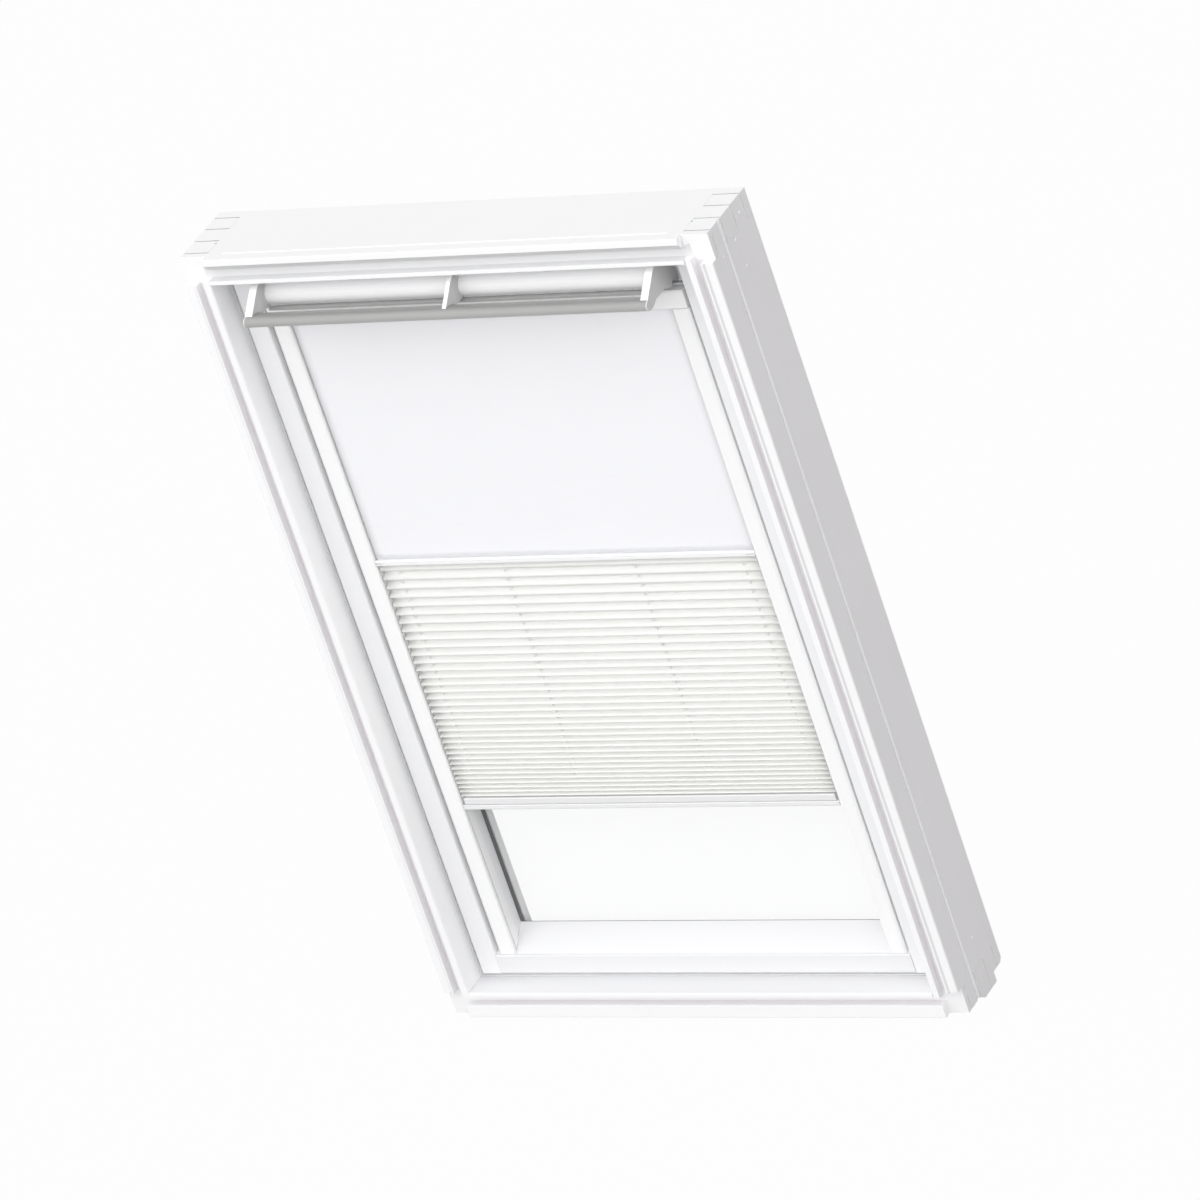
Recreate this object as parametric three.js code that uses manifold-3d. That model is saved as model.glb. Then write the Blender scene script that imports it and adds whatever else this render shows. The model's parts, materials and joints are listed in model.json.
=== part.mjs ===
// Centre-pivot roof window with its fitted two-part blind: a blackout roller cloth over a pleated cloth.
// Millimetres. X runs across the window, Y from the room face outward, Z up the slope of the roof.
// Inside the functions Y is measured from the room face of the frame; the last lines set the origin.

import * as THREE from 'three';
import { mergeVertices } from 'three/addons/utils/BufferGeometryUtils.js';
import Module from 'manifold-3d';

const wasm = await Module();
wasm.setup();

// Gaps and tool allowances shared by every sub-assembly
const seat = 0.3;
const jointGap = seat / 2;
const overrun = 5;
const weld = 0.001;

// Outer timber frame
const frame = {
  width: 780,
  height: 1178,
  depth: 124,
  jamb: 38.5,
  head: 37.5,
  sill: 38.5,
  lip: 7,
  jambLip: 10,
  lipRound: 3,
  grooveDepth: 12,
  grooveWidth: 12,
  ridge: 2.5,
  bandStep: 2.2,
  headLip: 8.5,
  headBevel: 8,
  headBevelDepth: 6,
  sillLip: 20,
  arris: 1.2,
};

// Narrow kerf along the outer face of a jamb, and the finer one along the top of the head
const sideKerf = { place: 46, width: 7, depth: 2.8 };
const headKerf = { place: 17, width: 1.6, depth: 0.9, setback: 60 };

// Stepped underside of the sill, which the lower ends of the jambs repeat
const drip = { flat: 47, slope: 13, nose: 37, drop: 9, lift: 6, tail: 5 };

// Finger joints: places across the depth where a head or sill tongue changes to a jamb tongue
const finger = { first: 21, second: 51, third: 81, fourth: 109, kerfWidth: 1.5, kerfDepth: 2.6 };

// Round holes of the joint screws in the outer faces of the jambs
const screwHole = { radius: 2.6, depth: 1.4, wide: 3.4, sides: 12 };

// Gasket round the frame's reveal
const gasket = { place: 41, width: 7, height: 4.7, bevel: 2, stem: 2.4, stemDepth: 2.6, kerf: 3 };

// Pivot at mid height
const pivot = {
  gapToGasket: 10,
  pinRadius: 7,
  pinGap: 0.5,
  plate: 2.6,
  plateWidth: 32,
  plateHeight: 96,
  arm: 2,
  armWidth: 28,
  armHeight: 70,
  sides: 24,
};

// Thin outer covers on the back of the frame
const cover = { inset: 5, width: 27, rise: 3.5, sheet: 1.2 };

// Timber sash
const sash = {
  sideGap: 7.5,
  topGap: 9,
  bottomGap: 8,
  face: 36.6,
  back: 108,
  stileFace: 29,
  ledge: 28,
  ledgeDepth: 60,
  paneSeat: 78.6,
  rebate: 12,
  topRail: 49,
  bottomFace: 27.1,
  kerfDepth: 2.2,
  kerfWidth: 4,
  bottomStep: 2.4,
  bottomReveal: 54.5,
  bottomRebate: 28,
  arris: 1.2,
};

// Double glazing
const glazing = {
  pane: 4,
  space: 13.7,
  spacerWidth: 12,
  sightline: 3.5,
  sunk: 14,
  gasket: 1.3,
  lip: 5,
  edgeGap: 1,
};

// Outer covers of the sash
const sashCover = { sheet: 3, setback: 0.3, sideSetback: 7.5, bottomSetback: 22, bevel: 1.4 };

// Roller casing at the head of the blind
const casing = { front: 38.5, height: 27, wall: 1.5, gapToRail: 0.4, back: 77.5, bottomLip: 6.4, arris: 2 };

// Side channels of the blind
const channel = {
  face: 39.5,
  overhang: 2,
  width: 24,
  shoulder: 3,
  shoulderDrop: 2,
  slotFront: 45,
  slotBack: 46.8,
  slotDepth: 14,
  arris: 1.4,
  stop: 5,
  stopDrop: 7,
};

// Roller with its cloth
const roller = {
  depth: 57,
  tubeRadius: 8,
  tubeWall: 1.2,
  coilRadius: 10.7,
  pinRadius: 3,
  pinGap: 0.3,
  endGap: 2.5,
  coilInset: 1.5,
  motorLength: 180,
  sides: 24,
};

// Blackout cloth, the two rails and the pleated cloth
const cloth = { thickness: 0.3, edgeGap: 2 };
const rail = {
  front: 40.5,
  depth: 11.5,
  endGap: 1,
  arris: 1,
  groove: 1.2,
  grooveDepth: 0.5,
  shoulderSetback: 1,
  shoulderGroove: 1.5,
  shoulderGrooveDepth: 3,
  shoulderInset: 4,
  slotLength: 13,
  slotHeight: 2,
  slotDepth: 2.2,
};
const glider = { length: 12, thickness: 1, height: 6 };
const middleRail = { hang: 361.2, height: 7.6, shoulder: 0 };
const bottomRail = { hang: 364, height: 17.4, shoulder: 10.4 };
const pleat = { count: 35, leaf: 10, sheet: 0.7, centre: 46.8, stretchShare: 0.4 };

// Ventilation flap, its brackets and the control bar
const flap = { back: 46, reach: 30, top: 0.5, height: 43, wall: 2.5, sides: 18 };
const bracket = {
  width: 11.7,
  plate: 2,
  cap: 1.2,
  endInset: 45.6,
  finWidth: 11,
  centreWidth: 6,
  tail: 9,
  topShare: 0.2,
  crownInset: 2,
  crownRise: 7,
  shoulderReach: 11,
  shoulderDrop: 0.7,
  tipShare: 0.66,
  heelShare: 0.3,
};
const bar = { depth: -18.8, drop: 9.8, halfDepth: 14, halfHeight: 6.8, taperShare: 0.3, border: 1.1, sides: 32 };
const trim = { depth: 17, drop: 15.1, halfDepth: 4, halfHeight: 2.8, sides: 14 };
const ventPin = { radius: 3, hole: 8, sides: 16, inset: 4 };
const filter = { height: 26, thickness: 9, endInset: 6, topInset: 4 };
const latch = { width: 66, depth: 20, height: 3.4, place: 84, bevel: 1, striker: 1.2, strikerWidth: 90 };

// Finishes
const paint = { color: 0xf4f4f3, roughness: 0.42, metalness: 0 };
const lacquer = { color: 0xf6f6f6, roughness: 0.35, metalness: 0 };
const satin = { color: 0xb9bbbc, roughness: 0.32, metalness: 0.9 };
const steel = { color: 0x9fa2a4, roughness: 0.4, metalness: 0.85 };
const greyPlastic = { color: 0xcfd0d0, roughness: 0.5, metalness: 0 };
const rubber = { color: 0x2b2c2e, roughness: 0.8, metalness: 0 };
const greyRubber = { color: 0x6c6e70, roughness: 0.8, metalness: 0 };
const outerSheet = { color: 0x5a5e61, roughness: 0.5, metalness: 0.6 };
const clear = { color: 0xe8f1f0, roughness: 0.05, metalness: 0 };
const coolCloth = { color: 0xf1f3f6, roughness: 0.9, metalness: 0 };
const warmCloth = { color: 0xf4f5f0, roughness: 0.9, metalness: 0 };
const foam = { color: 0x8d9092, roughness: 1, metalness: 0 };

// Sizes worked out from the ones above
const half = frame.width / 2;
const opening = { side: half - frame.jamb, top: frame.height - frame.head, bottom: frame.sill };
const tongues = [
  [frame.grooveDepth, finger.first],
  [finger.second, finger.third],
  [finger.fourth, frame.depth],
];
const jambTongues = [
  [finger.first, finger.second],
  [finger.third, finger.fourth],
];
const edge = {
  side: opening.side - sash.sideGap,
  top: opening.top - sash.topGap,
  bottom: opening.bottom + sash.bottomGap,
};
edge.step = edge.side - sash.stileFace;
edge.reveal = edge.step - sash.ledge;
edge.channel = edge.reveal - channel.overhang;
const railTop = edge.top - sash.topRail;
const revealTop = edge.bottom + sash.bottomReveal;
const slopeFoot = sash.face + sash.bottomStep + sash.kerfWidth;
const casingTop = railTop - casing.gapToRail;
const casingBottom = casingTop - casing.height;
const rollerHeight = casingBottom + casing.height / 2 - casing.wall;
const pivotHeight = frame.height / 2;
pivot.depth = gasket.place + gasket.width + pivot.gapToGasket + pivot.plateWidth / 2;
const paneFront = sash.paneSeat + seat + glazing.gasket + seat;
const ventTop = edge.top - flap.top;
const ventCentre = ventTop - flap.height / 2;
const ventEnd = edge.side - bracket.endInset;
bar.height = ventCentre - bar.drop;
trim.height = ventCentre - trim.drop;
cloth.edge = edge.channel - cloth.edgeGap;
middleRail.bottom = casingBottom - middleRail.hang - middleRail.height;
bottomRail.bottom = middleRail.bottom - bottomRail.hang - bottomRail.height;
const pinPlace = { depth: flap.back - ventPin.inset, height: ventTop - flap.height + ventPin.inset };

// Turns that lay an outline's two coordinates and its length along the model's axes
const axisX = new THREE.Vector3(1, 0, 0);
const axisY = new THREE.Vector3(0, 1, 0);
const axisZ = new THREE.Vector3(0, 0, 1);
const alongX = new THREE.Matrix4().makeBasis(axisY, axisZ, axisX);
const alongY = new THREE.Matrix4().makeBasis(axisZ, axisX, axisY);
const alongZ = new THREE.Matrix4();

// Geometry to solid, and back
function toSolid(geometry) {
  geometry.deleteAttribute('normal');
  geometry.deleteAttribute('uv');
  const joined = mergeVertices(geometry, weld);
  const triangles = new wasm.Mesh({
    numProp: 3,
    vertProperties: joined.attributes.position.array,
    triVerts: joined.index.array,
  });
  return new wasm.Manifold(triangles);
}

function toGeometry(solid) {
  const { vertProperties, triVerts } = solid.getMesh();
  const geometry = new THREE.BufferGeometry();
  geometry.setAttribute('position', new THREE.BufferAttribute(vertProperties, 3));
  geometry.setIndex(new THREE.BufferAttribute(triVerts, 1));
  geometry.computeVertexNormals();
  return geometry;
}

// A prism whose outline points are (Y, Z) along X, (Z, X) along Y, or (X, Y) along Z
function prism(points, from, to, basis) {
  const shape = new THREE.Shape(points.map(([a, b]) => new THREE.Vector2(a, b)));
  const geometry = new THREE.ExtrudeGeometry(shape, { depth: to - from, bevelEnabled: false });
  geometry.translate(0, 0, from);
  geometry.applyMatrix4(basis);
  return toSolid(geometry);
}

function block([x0, x1], [y0, y1], [z0, z1]) {
  const geometry = new THREE.BoxGeometry(Math.abs(x1 - x0), Math.abs(y1 - y0), Math.abs(z1 - z0));
  geometry.translate((x0 + x1) / 2, (y0 + y1) / 2, (z0 + z1) / 2);
  return toSolid(geometry);
}

// A round bar along X
function rod(radius, from, to, depth, height, sides) {
  const geometry = new THREE.CylinderGeometry(radius, radius, Math.abs(to - from), sides);
  geometry.rotateZ(Math.PI / 2);
  geometry.translate((from + to) / 2, depth, height);
  return toSolid(geometry);
}

// Points of an ellipse in the Y-Z plane
function ellipse(centre, halfDepth, halfHeight, sides, start = 0, sweep = 2 * Math.PI) {
  const closed = sweep > Math.PI * 1.99;
  const steps = closed ? sides : sides + 1;
  return Array.from({ length: steps }, (_, i) => {
    const turn = start + (sweep * i) / sides;
    return [centre[0] + halfDepth * Math.cos(turn), centre[1] + halfHeight * Math.sin(turn)];
  });
}

function mesh(name, solid, finish) {
  const piece = new THREE.Mesh(toGeometry(solid), new THREE.MeshStandardMaterial(finish));
  piece.name = name;
  return piece;
}

const sides = [
  ['left', -1],
  ['right', 1],
];

// Underside of the sill, from the room face to the back
const undersidePoints = [
  [0, 0],
  [drip.flat, 0],
  [drip.flat + drip.slope, -drip.drop],
  [drip.flat + drip.slope + drip.nose, -drip.drop],
  [drip.flat + drip.slope + drip.nose, drip.lift],
  [frame.depth - drip.tail, drip.lift],
  [frame.depth, drip.lift + drip.tail],
];

// Kerf of the gasket, written from one side of it to the other on a face at the given place
const kerfFront = gasket.place + (gasket.width - gasket.kerf) / 2;
const kerfBack = kerfFront + gasket.kerf;
const kerfFloor = gasket.stemDepth + seat;

// Section of a jamb, from its inner face outward
function jambSection(side) {
  const inner = opening.side;
  const lipEnd = inner + frame.jambLip;
  const grooveEnd = lipEnd + frame.grooveWidth;
  const ridgeEnd = grooveEnd + frame.ridge;
  const round = ellipse([inner + frame.lipRound, frame.lipRound], frame.lipRound, frame.lipRound, 3, Math.PI, Math.PI / 2);
  const points = [
    ...round,
    [lipEnd, 0],
    [lipEnd, frame.grooveDepth],
    [grooveEnd, frame.grooveDepth],
    [grooveEnd, 0],
    [ridgeEnd, 0],
    [ridgeEnd + frame.bandStep, frame.bandStep],
    [half - frame.arris, frame.bandStep],
    [half, frame.bandStep + frame.arris],
    [half, sideKerf.place - sideKerf.width],
    [half - sideKerf.depth, sideKerf.place],
    [half, sideKerf.place],
    [half, frame.depth],
    [inner, frame.depth],
    [inner, kerfBack],
    [inner + kerfFloor, kerfBack],
    [inner + kerfFloor, kerfFront],
    [inner, kerfFront],
  ];
  return points.map(([x, y]) => [side * x, y]);
}

// Narrow kerfs that show where the tongues meet, on the top and on the outer faces
function fingerKerfs(side) {
  const wide = finger.kerfWidth / 2;
  const deep = finger.kerfDepth;
  const places = [finger.first, finger.second, finger.third, finger.fourth];
  const span = side > 0 ? [opening.side, half + overrun] : [-half - overrun, -opening.side];
  const outer = side > 0 ? [half - deep, half + overrun] : [-half - overrun, deep - half];
  return places.flatMap((place) => {
    const y = [place - wide, place + wide];
    return [
      block(span, y, [frame.height - deep, frame.height + overrun]),
      block(outer, y, [opening.top, frame.height + overrun]),
      block(outer, y, [-drip.drop - overrun, opening.bottom]),
    ];
  });
}

// Screw holes in the outer face of a jamb, at depths and heights that keep to the tongues
function screwHoles(side) {
  const middle = (finger.third + finger.fourth) / 2;
  const third = finger.third - frame.lip;
  const places = [
    [middle, frame.height - frame.head / 2, screwHole.radius],
    [third - screwHole.wide * 2, opening.top - screwHole.wide, screwHole.wide],
    [(frame.grooveDepth + drip.flat) / 2, opening.top - screwHole.wide * 2, screwHole.radius],
    [third, opening.top - frame.sill - frame.lip, screwHole.radius],
    [third, opening.bottom + frame.sill, screwHole.radius],
  ];
  return places.map(([depth, height, radius]) =>
    rod(radius, side * (half - screwHole.depth), side * (half + overrun), depth, height, screwHole.sides));
}

function jamb(side) {
  const x = (near, far) => (side > 0 ? [near, far] : [-far, -near]);
  const top = opening.top;
  const bottom = opening.bottom;
  const ceiling = frame.height + overrun;
  const floor = -drip.drop - overrun;
  const inner = opening.side;
  const lipEnd = inner + frame.jambLip;
  let solid = prism(jambSection(side), -drip.drop, frame.height, alongZ);
  const below = [
    [-overrun, 0],
    ...undersidePoints,
    [frame.depth + overrun, drip.lift + drip.tail],
    [frame.depth + overrun, floor],
    [-overrun, floor],
  ];
  const cuts = [
    prism(below, -half - overrun, half + overrun, alongX),
    block(x(lipEnd, half + overrun), [-overrun, frame.grooveDepth], [top, ceiling]),
    block(x(lipEnd, half + overrun), [-overrun, frame.grooveDepth], [floor, bottom]),
    block(x(inner - overrun, lipEnd + weld), [-overrun, frame.grooveDepth], [top + frame.lip, ceiling]),
    block(x(inner - overrun, lipEnd + weld), [-overrun, frame.grooveDepth], [floor, bottom - frame.lip]),
    ...tongues.flatMap(([from, to]) => [
      block(x(inner - overrun, half + overrun), [from - jointGap, to + jointGap], [top - seat, ceiling]),
      block(x(inner - overrun, half + overrun), [from - jointGap, to + jointGap], [floor, bottom + seat]),
    ]),
    ...fingerKerfs(side),
    ...screwHoles(side),
  ];
  for (const cut of cuts) solid = solid.subtract(cut);
  return solid;
}

// Cuts a head or sill bar needs at its two ends: the square recess in front and the jamb's tongues
function endCuts(lipEnds) {
  const near = opening.side - seat;
  const far = half + overrun;
  const cuts = [];
  for (const [, side] of sides) {
    const x = (from) => (side > 0 ? [from, far] : [-far, -from]);
    for (const [from, zRange] of lipEnds) {
      cuts.push(block(x(from), [-overrun, frame.grooveDepth], zRange));
    }
    for (const [from, to] of jambTongues) {
      const all = [-drip.drop - overrun, frame.height + overrun];
      cuts.push(block(x(near), [from - jointGap, to + jointGap], all));
    }
    cuts.push(...fingerKerfs(side));
  }
  return cuts;
}

function head() {
  const top = frame.height;
  const lip = opening.top + frame.lip;
  const bevelTop = top - frame.headLip;
  const section = [
    [0, opening.top + frame.arris],
    [0, lip],
    [frame.grooveDepth, lip],
    [frame.grooveDepth, bevelTop - frame.headBevel],
    [frame.headBevelDepth, bevelTop - frame.headBevel],
    [0, bevelTop],
    [0, top - frame.arris],
    [frame.arris, top],
    [frame.depth, top],
    [frame.depth, opening.top],
    [kerfBack, opening.top],
    [kerfBack, opening.top + kerfFloor],
    [kerfFront, opening.top + kerfFloor],
    [kerfFront, opening.top],
    [frame.arris, opening.top],
  ];
  const kerf = [
    [headKerf.place - headKerf.width, top],
    [headKerf.place, top - headKerf.depth],
    [headKerf.place + headKerf.width, top],
    [headKerf.place, top + headKerf.depth],
  ];
  const ends = endCuts([[opening.side - seat, [opening.top - overrun, top + overrun]]]);
  const kerfEnd = half - headKerf.setback;
  let solid = prism(section, -half, half, alongX).subtract(prism(kerf, -kerfEnd, kerfEnd, alongX));
  for (const cut of ends) solid = solid.subtract(cut);
  return solid;
}

function sill() {
  const top = opening.bottom;
  const section = [
    [0, frame.arris],
    [frame.arris, 0],
    ...undersidePoints.slice(1),
    [frame.depth, top],
    [kerfBack, top],
    [kerfBack, top - kerfFloor],
    [kerfFront, top - kerfFloor],
    [kerfFront, top],
    [frame.arris, top],
    [0, top - frame.arris],
    [0, top - frame.lip],
    [frame.grooveDepth, top - frame.lip],
    [frame.grooveDepth, frame.sillLip],
    [0, frame.sillLip],
  ];
  const ends = endCuts([
    [opening.side - seat, [frame.sillLip + weld, top + overrun]],
    [opening.side + frame.jambLip, [-overrun, frame.sillLip + overrun]],
  ]);
  let solid = prism(section, -half, half, alongX);
  for (const cut of ends) solid = solid.subtract(cut);
  return solid;
}

// A rectangular ring in the X-Z plane between two depths
function ring(outer, inner, from, to) {
  const rectangle = ({ side, top, bottom }) => [
    [bottom, -side],
    [top, -side],
    [top, side],
    [bottom, side],
  ];
  const shape = new THREE.Shape(rectangle(outer).map(([a, b]) => new THREE.Vector2(a, b)));
  shape.holes.push(new THREE.Path(rectangle(inner).map(([a, b]) => new THREE.Vector2(a, b))));
  const geometry = new THREE.ExtrudeGeometry(shape, { depth: to - from, bevelEnabled: false });
  geometry.translate(0, 0, from);
  geometry.applyMatrix4(alongY);
  return toSolid(geometry);
}

function inset(box, amount) {
  return { side: box.side - amount, top: box.top - amount, bottom: box.bottom + amount };
}

function frameGasket() {
  const outer = inset(opening, seat);
  const bulb = ring(outer, inset(opening, gasket.height), gasket.place + gasket.bevel, gasket.place + gasket.width);
  const nose = ring(outer, inset(opening, gasket.height - gasket.bevel), gasket.place, gasket.place + gasket.width);
  const stemFront = kerfFront + (gasket.kerf - gasket.stem) / 2;
  const stem = ring(inset(opening, -gasket.stemDepth), inset(opening, seat + weld), stemFront, stemFront + gasket.stem);
  return bulb.add(nose).add(stem);
}

// Obround plate in the Y-Z plane, centred on the pivot
function pivotOutline(width, height) {
  const radius = width / 2;
  const rise = height / 2 - radius;
  const steps = pivot.sides / 2;
  const upper = ellipse([pivot.depth, pivotHeight + rise], radius, radius, steps, 0, Math.PI);
  const lower = ellipse([pivot.depth, pivotHeight - rise], radius, radius, steps, Math.PI, Math.PI);
  return [...upper, ...lower];
}

function pivotPlate(side) {
  const far = opening.side - seat;
  const near = far - pivot.plate;
  const x = side > 0 ? [near, far] : [-far, -near];
  const plate = prism(pivotOutline(pivot.plateWidth, pivot.plateHeight), x[0], x[1], alongX);
  const bore = rod(pivot.pinRadius + pivot.pinGap, x[0] - overrun, x[1] + overrun, pivot.depth, pivotHeight, pivot.sides);
  return plate.subtract(bore);
}

function pivotArm(side) {
  const near = edge.side + seat;
  const far = near + pivot.arm;
  const x = side > 0 ? [near, far] : [-far, -near];
  const plate = prism(pivotOutline(pivot.armWidth, pivot.armHeight), x[0], x[1], alongX);
  const pinEnd = opening.side - seat;
  const pin = rod(pivot.pinRadius, side * (near + pivot.arm / 2), side * pinEnd, pivot.depth, pivotHeight, pivot.sides);
  return plate.add(pin);
}

// Folded cover strip: (position across the timber, depth) with both long edges turned back
function coverSection(from, to) {
  const floor = frame.depth + seat;
  const top = floor + cover.rise;
  return [
    [from, floor],
    [from, top - cover.sheet],
    [from + cover.sheet, top],
    [to - cover.sheet, top],
    [to, top - cover.sheet],
    [to, floor],
    [to - cover.sheet, floor],
    [to - cover.sheet, top - cover.sheet],
    [from + cover.sheet, top - cover.sheet],
    [from + cover.sheet, floor],
  ];
}

function frameCovers() {
  const outer = half - cover.inset;
  const sideSection = coverSection(outer - cover.width, outer);
  const top = frame.height - cover.inset;
  const bottom = drip.lift + drip.tail + cover.inset;
  const flat = (from, to) => coverSection(from, to).map(([z, y]) => [y, z]);
  const headStrip = prism(flat(top - cover.width, top), -outer, outer, alongX);
  const sillStrip = prism(flat(bottom, bottom + cover.width), -outer, outer, alongX);
  const lower = bottom + cover.width + seat;
  const upper = top - cover.width - seat;
  const strips = sides.map(([name, side]) => {
    const section = sideSection.map(([x, y]) => [side * x, y]);
    return mesh(`cover_jamb_${name}`, prism(section, lower, upper, alongZ), outerSheet);
  });
  return [mesh('cover_head', headStrip, outerSheet), mesh('cover_sill', sillStrip, outerSheet), ...strips];
}

function striker() {
  const x = latch.strikerWidth / 2;
  const top = opening.top - seat;
  return block([-x, x], [latch.place, latch.place + latch.depth], [top - latch.striker, top]);
}

function frameGroup() {
  const group = new THREE.Group();
  group.add(mesh('frame_head', head(), paint));
  group.add(mesh('frame_sill', sill(), paint));
  for (const [name, side] of sides) {
    group.add(mesh(`frame_jamb_${name}`, jamb(side), paint));
    group.add(mesh(`pivot_plate_${name}`, pivotPlate(side), steel));
  }
  group.add(mesh('frame_gasket', frameGasket(), greyRubber));
  group.add(mesh('striker_plate', striker(), steel));
  group.add(...frameCovers());
  return group;
}

// Sash stile: wide face, ledge for the blind's channel, then the rebate for the glass
function stile(side) {
  const paneEdge = edge.reveal + sash.rebate;
  const section = [
    [edge.side, sash.face + sash.arris],
    [edge.side - sash.arris, sash.face],
    [edge.step + sash.arris, sash.face],
    [edge.step, sash.face + sash.arris],
    [edge.step, sash.ledgeDepth],
    [edge.reveal, sash.ledgeDepth],
    [edge.reveal, sash.paneSeat],
    [paneEdge, sash.paneSeat],
    [paneEdge, sash.back],
    [edge.side, sash.back],
  ].map(([x, y]) => [side * x, y]);
  const hole = rod(
    ventPin.radius + seat, side * (edge.step - overrun), side * (edge.step + ventPin.hole),
    pinPlace.depth, pinPlace.height, ventPin.sides,
  );
  return prism(section, edge.bottom, edge.top, alongZ).subtract(hole);
}

// Section of the sash's bottom rail, with its sloping top that leads to the glass
function bottomRailSection() {
  const faceTop = edge.bottom + sash.bottomFace;
  const kerfStart = sash.face + sash.bottomStep;
  return [
    [sash.face, edge.bottom + sash.arris],
    [sash.face, faceTop],
    [sash.face + sash.arris, faceTop + sash.arris],
    [kerfStart, faceTop + sash.arris],
    [kerfStart + sash.kerfWidth / 2, faceTop + sash.arris - sash.kerfDepth],
    [slopeFoot, faceTop + sash.bottomStep],
    [sash.paneSeat, revealTop],
    [sash.paneSeat, revealTop - sash.bottomRebate],
    [sash.back, revealTop - sash.bottomRebate],
    [sash.back, edge.bottom],
    [sash.face + sash.arris, edge.bottom],
  ];
}

function sashBottomRail() {
  const reach = edge.step - seat;
  let solid = prism(bottomRailSection(), -reach, reach, alongX);
  for (const [, side] of sides) {
    const near = edge.reveal - seat;
    const x = side > 0 ? [near, half] : [-half, -near];
    const z = [edge.bottom - overrun, revealTop + overrun];
    solid = solid.subtract(block(x, [sash.ledgeDepth - seat, sash.back + overrun], z));
  }
  return solid;
}

function sashTopRail() {
  const section = [
    [sash.ledgeDepth, railTop],
    [sash.ledgeDepth, edge.top - sash.arris],
    [sash.ledgeDepth + sash.arris, edge.top],
    [sash.back, edge.top],
    [sash.back, railTop + sash.rebate],
    [sash.paneSeat, railTop + sash.rebate],
    [sash.paneSeat, railTop],
  ];
  const reach = edge.reveal - seat;
  return prism(section, -reach, reach, alongX);
}

// Panes, spacer and gasket are rings and sheets worked out from the rebate
const paneBox = {
  side: edge.reveal + sash.rebate - glazing.edgeGap,
  top: railTop + sash.rebate - glazing.edgeGap,
  bottom: revealTop - sash.bottomRebate + glazing.edgeGap,
};

function pane(front) {
  return block([-paneBox.side, paneBox.side], [front, front + glazing.pane], [paneBox.bottom, paneBox.top]);
}

function paneSpacer() {
  const inner = {
    side: edge.reveal - glazing.sightline,
    top: railTop - glazing.sightline,
    bottom: revealTop - glazing.sunk,
  };
  const front = paneFront + glazing.pane + seat;
  return ring(inset(inner, -glazing.spacerWidth), inner, front, front + glazing.space - seat * 2);
}

function glazingGasket() {
  const inner = {
    side: edge.reveal - glazing.lip,
    top: railTop - glazing.lip,
    bottom: revealTop - seat,
  };
  const front = sash.paneSeat + seat;
  return ring(inset(paneBox, glazing.edgeGap), inner, front, front + glazing.gasket);
}

// Outer cover of the sash: a bent strip whose inner leg holds the glass
function sashCoverSection(outer, inner) {
  const floor = sash.back + seat;
  const top = floor + sashCover.sheet;
  const glass = paneFront + glazing.pane * 2 + glazing.space + seat;
  return [
    [outer, floor],
    [outer, top - sashCover.bevel],
    [outer - sashCover.bevel, top],
    [inner + sashCover.bevel, top],
    [inner, top - sashCover.bevel],
    [inner, glass],
    [inner + sashCover.sheet, glass],
    [inner + sashCover.sheet, floor],
  ];
}

function sashCovers() {
  const inner = edge.reveal + sashCover.sideSetback;
  const upright = sashCoverSection(edge.side, inner);
  const reach = inner - seat;
  const up = sashCoverSection(edge.top, railTop + sashCover.setback).map(([z, y]) => [y, z]);
  const low = revealTop - sashCover.bottomSetback;
  const rise = edge.bottom + low;
  const down = sashCoverSection(low, edge.bottom)
    .map(([z, y]) => [y, rise - z]);
  const strips = sides.map(([name, side]) => {
    const section = upright.map(([x, y]) => [side * x, y]);
    return mesh(`sash_cover_${name}`, prism(section, edge.bottom, edge.top, alongZ), outerSheet);
  });
  return [
    mesh('sash_cover_top', prism(up, -reach, reach, alongX), outerSheet),
    mesh('sash_cover_bottom', prism(down, -reach, reach, alongX), outerSheet),
    ...strips,
  ];
}

function latchCase() {
  const x = latch.width / 2;
  const floor = edge.top + seat;
  const top = floor + latch.height;
  const section = [
    [latch.place, floor],
    [latch.place, top - latch.bevel],
    [latch.place + latch.bevel, top],
    [latch.place + latch.depth - latch.bevel, top],
    [latch.place + latch.depth, top - latch.bevel],
    [latch.place + latch.depth, floor],
  ];
  return prism(section, -x, x, alongX);
}

function ventFilter() {
  const x = edge.reveal - filter.endInset;
  const back = sash.ledgeDepth - seat;
  const top = edge.top - filter.topInset;
  return block([-x, x], [back - filter.thickness, back], [top - filter.height, top]);
}

function sashGroup() {
  const group = new THREE.Group();
  group.add(mesh('sash_top_rail', sashTopRail(), paint));
  group.add(mesh('sash_bottom_rail', sashBottomRail(), paint));
  for (const [name, side] of sides) {
    group.add(mesh(`sash_stile_${name}`, stile(side), paint));
    group.add(mesh(`pivot_arm_${name}`, pivotArm(side), steel));
  }
  group.add(mesh('inner_pane', pane(paneFront), clear));
  group.add(mesh('outer_pane', pane(paneFront + glazing.pane + glazing.space), clear));
  group.add(mesh('pane_spacer', paneSpacer(), greyPlastic));
  group.add(mesh('glazing_gasket', glazingGasket(), rubber));
  group.add(mesh('latch_case', latchCase(), steel));
  group.add(mesh('vent_filter', ventFilter(), foam));
  group.add(...sashCovers());
  return group;
}

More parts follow.
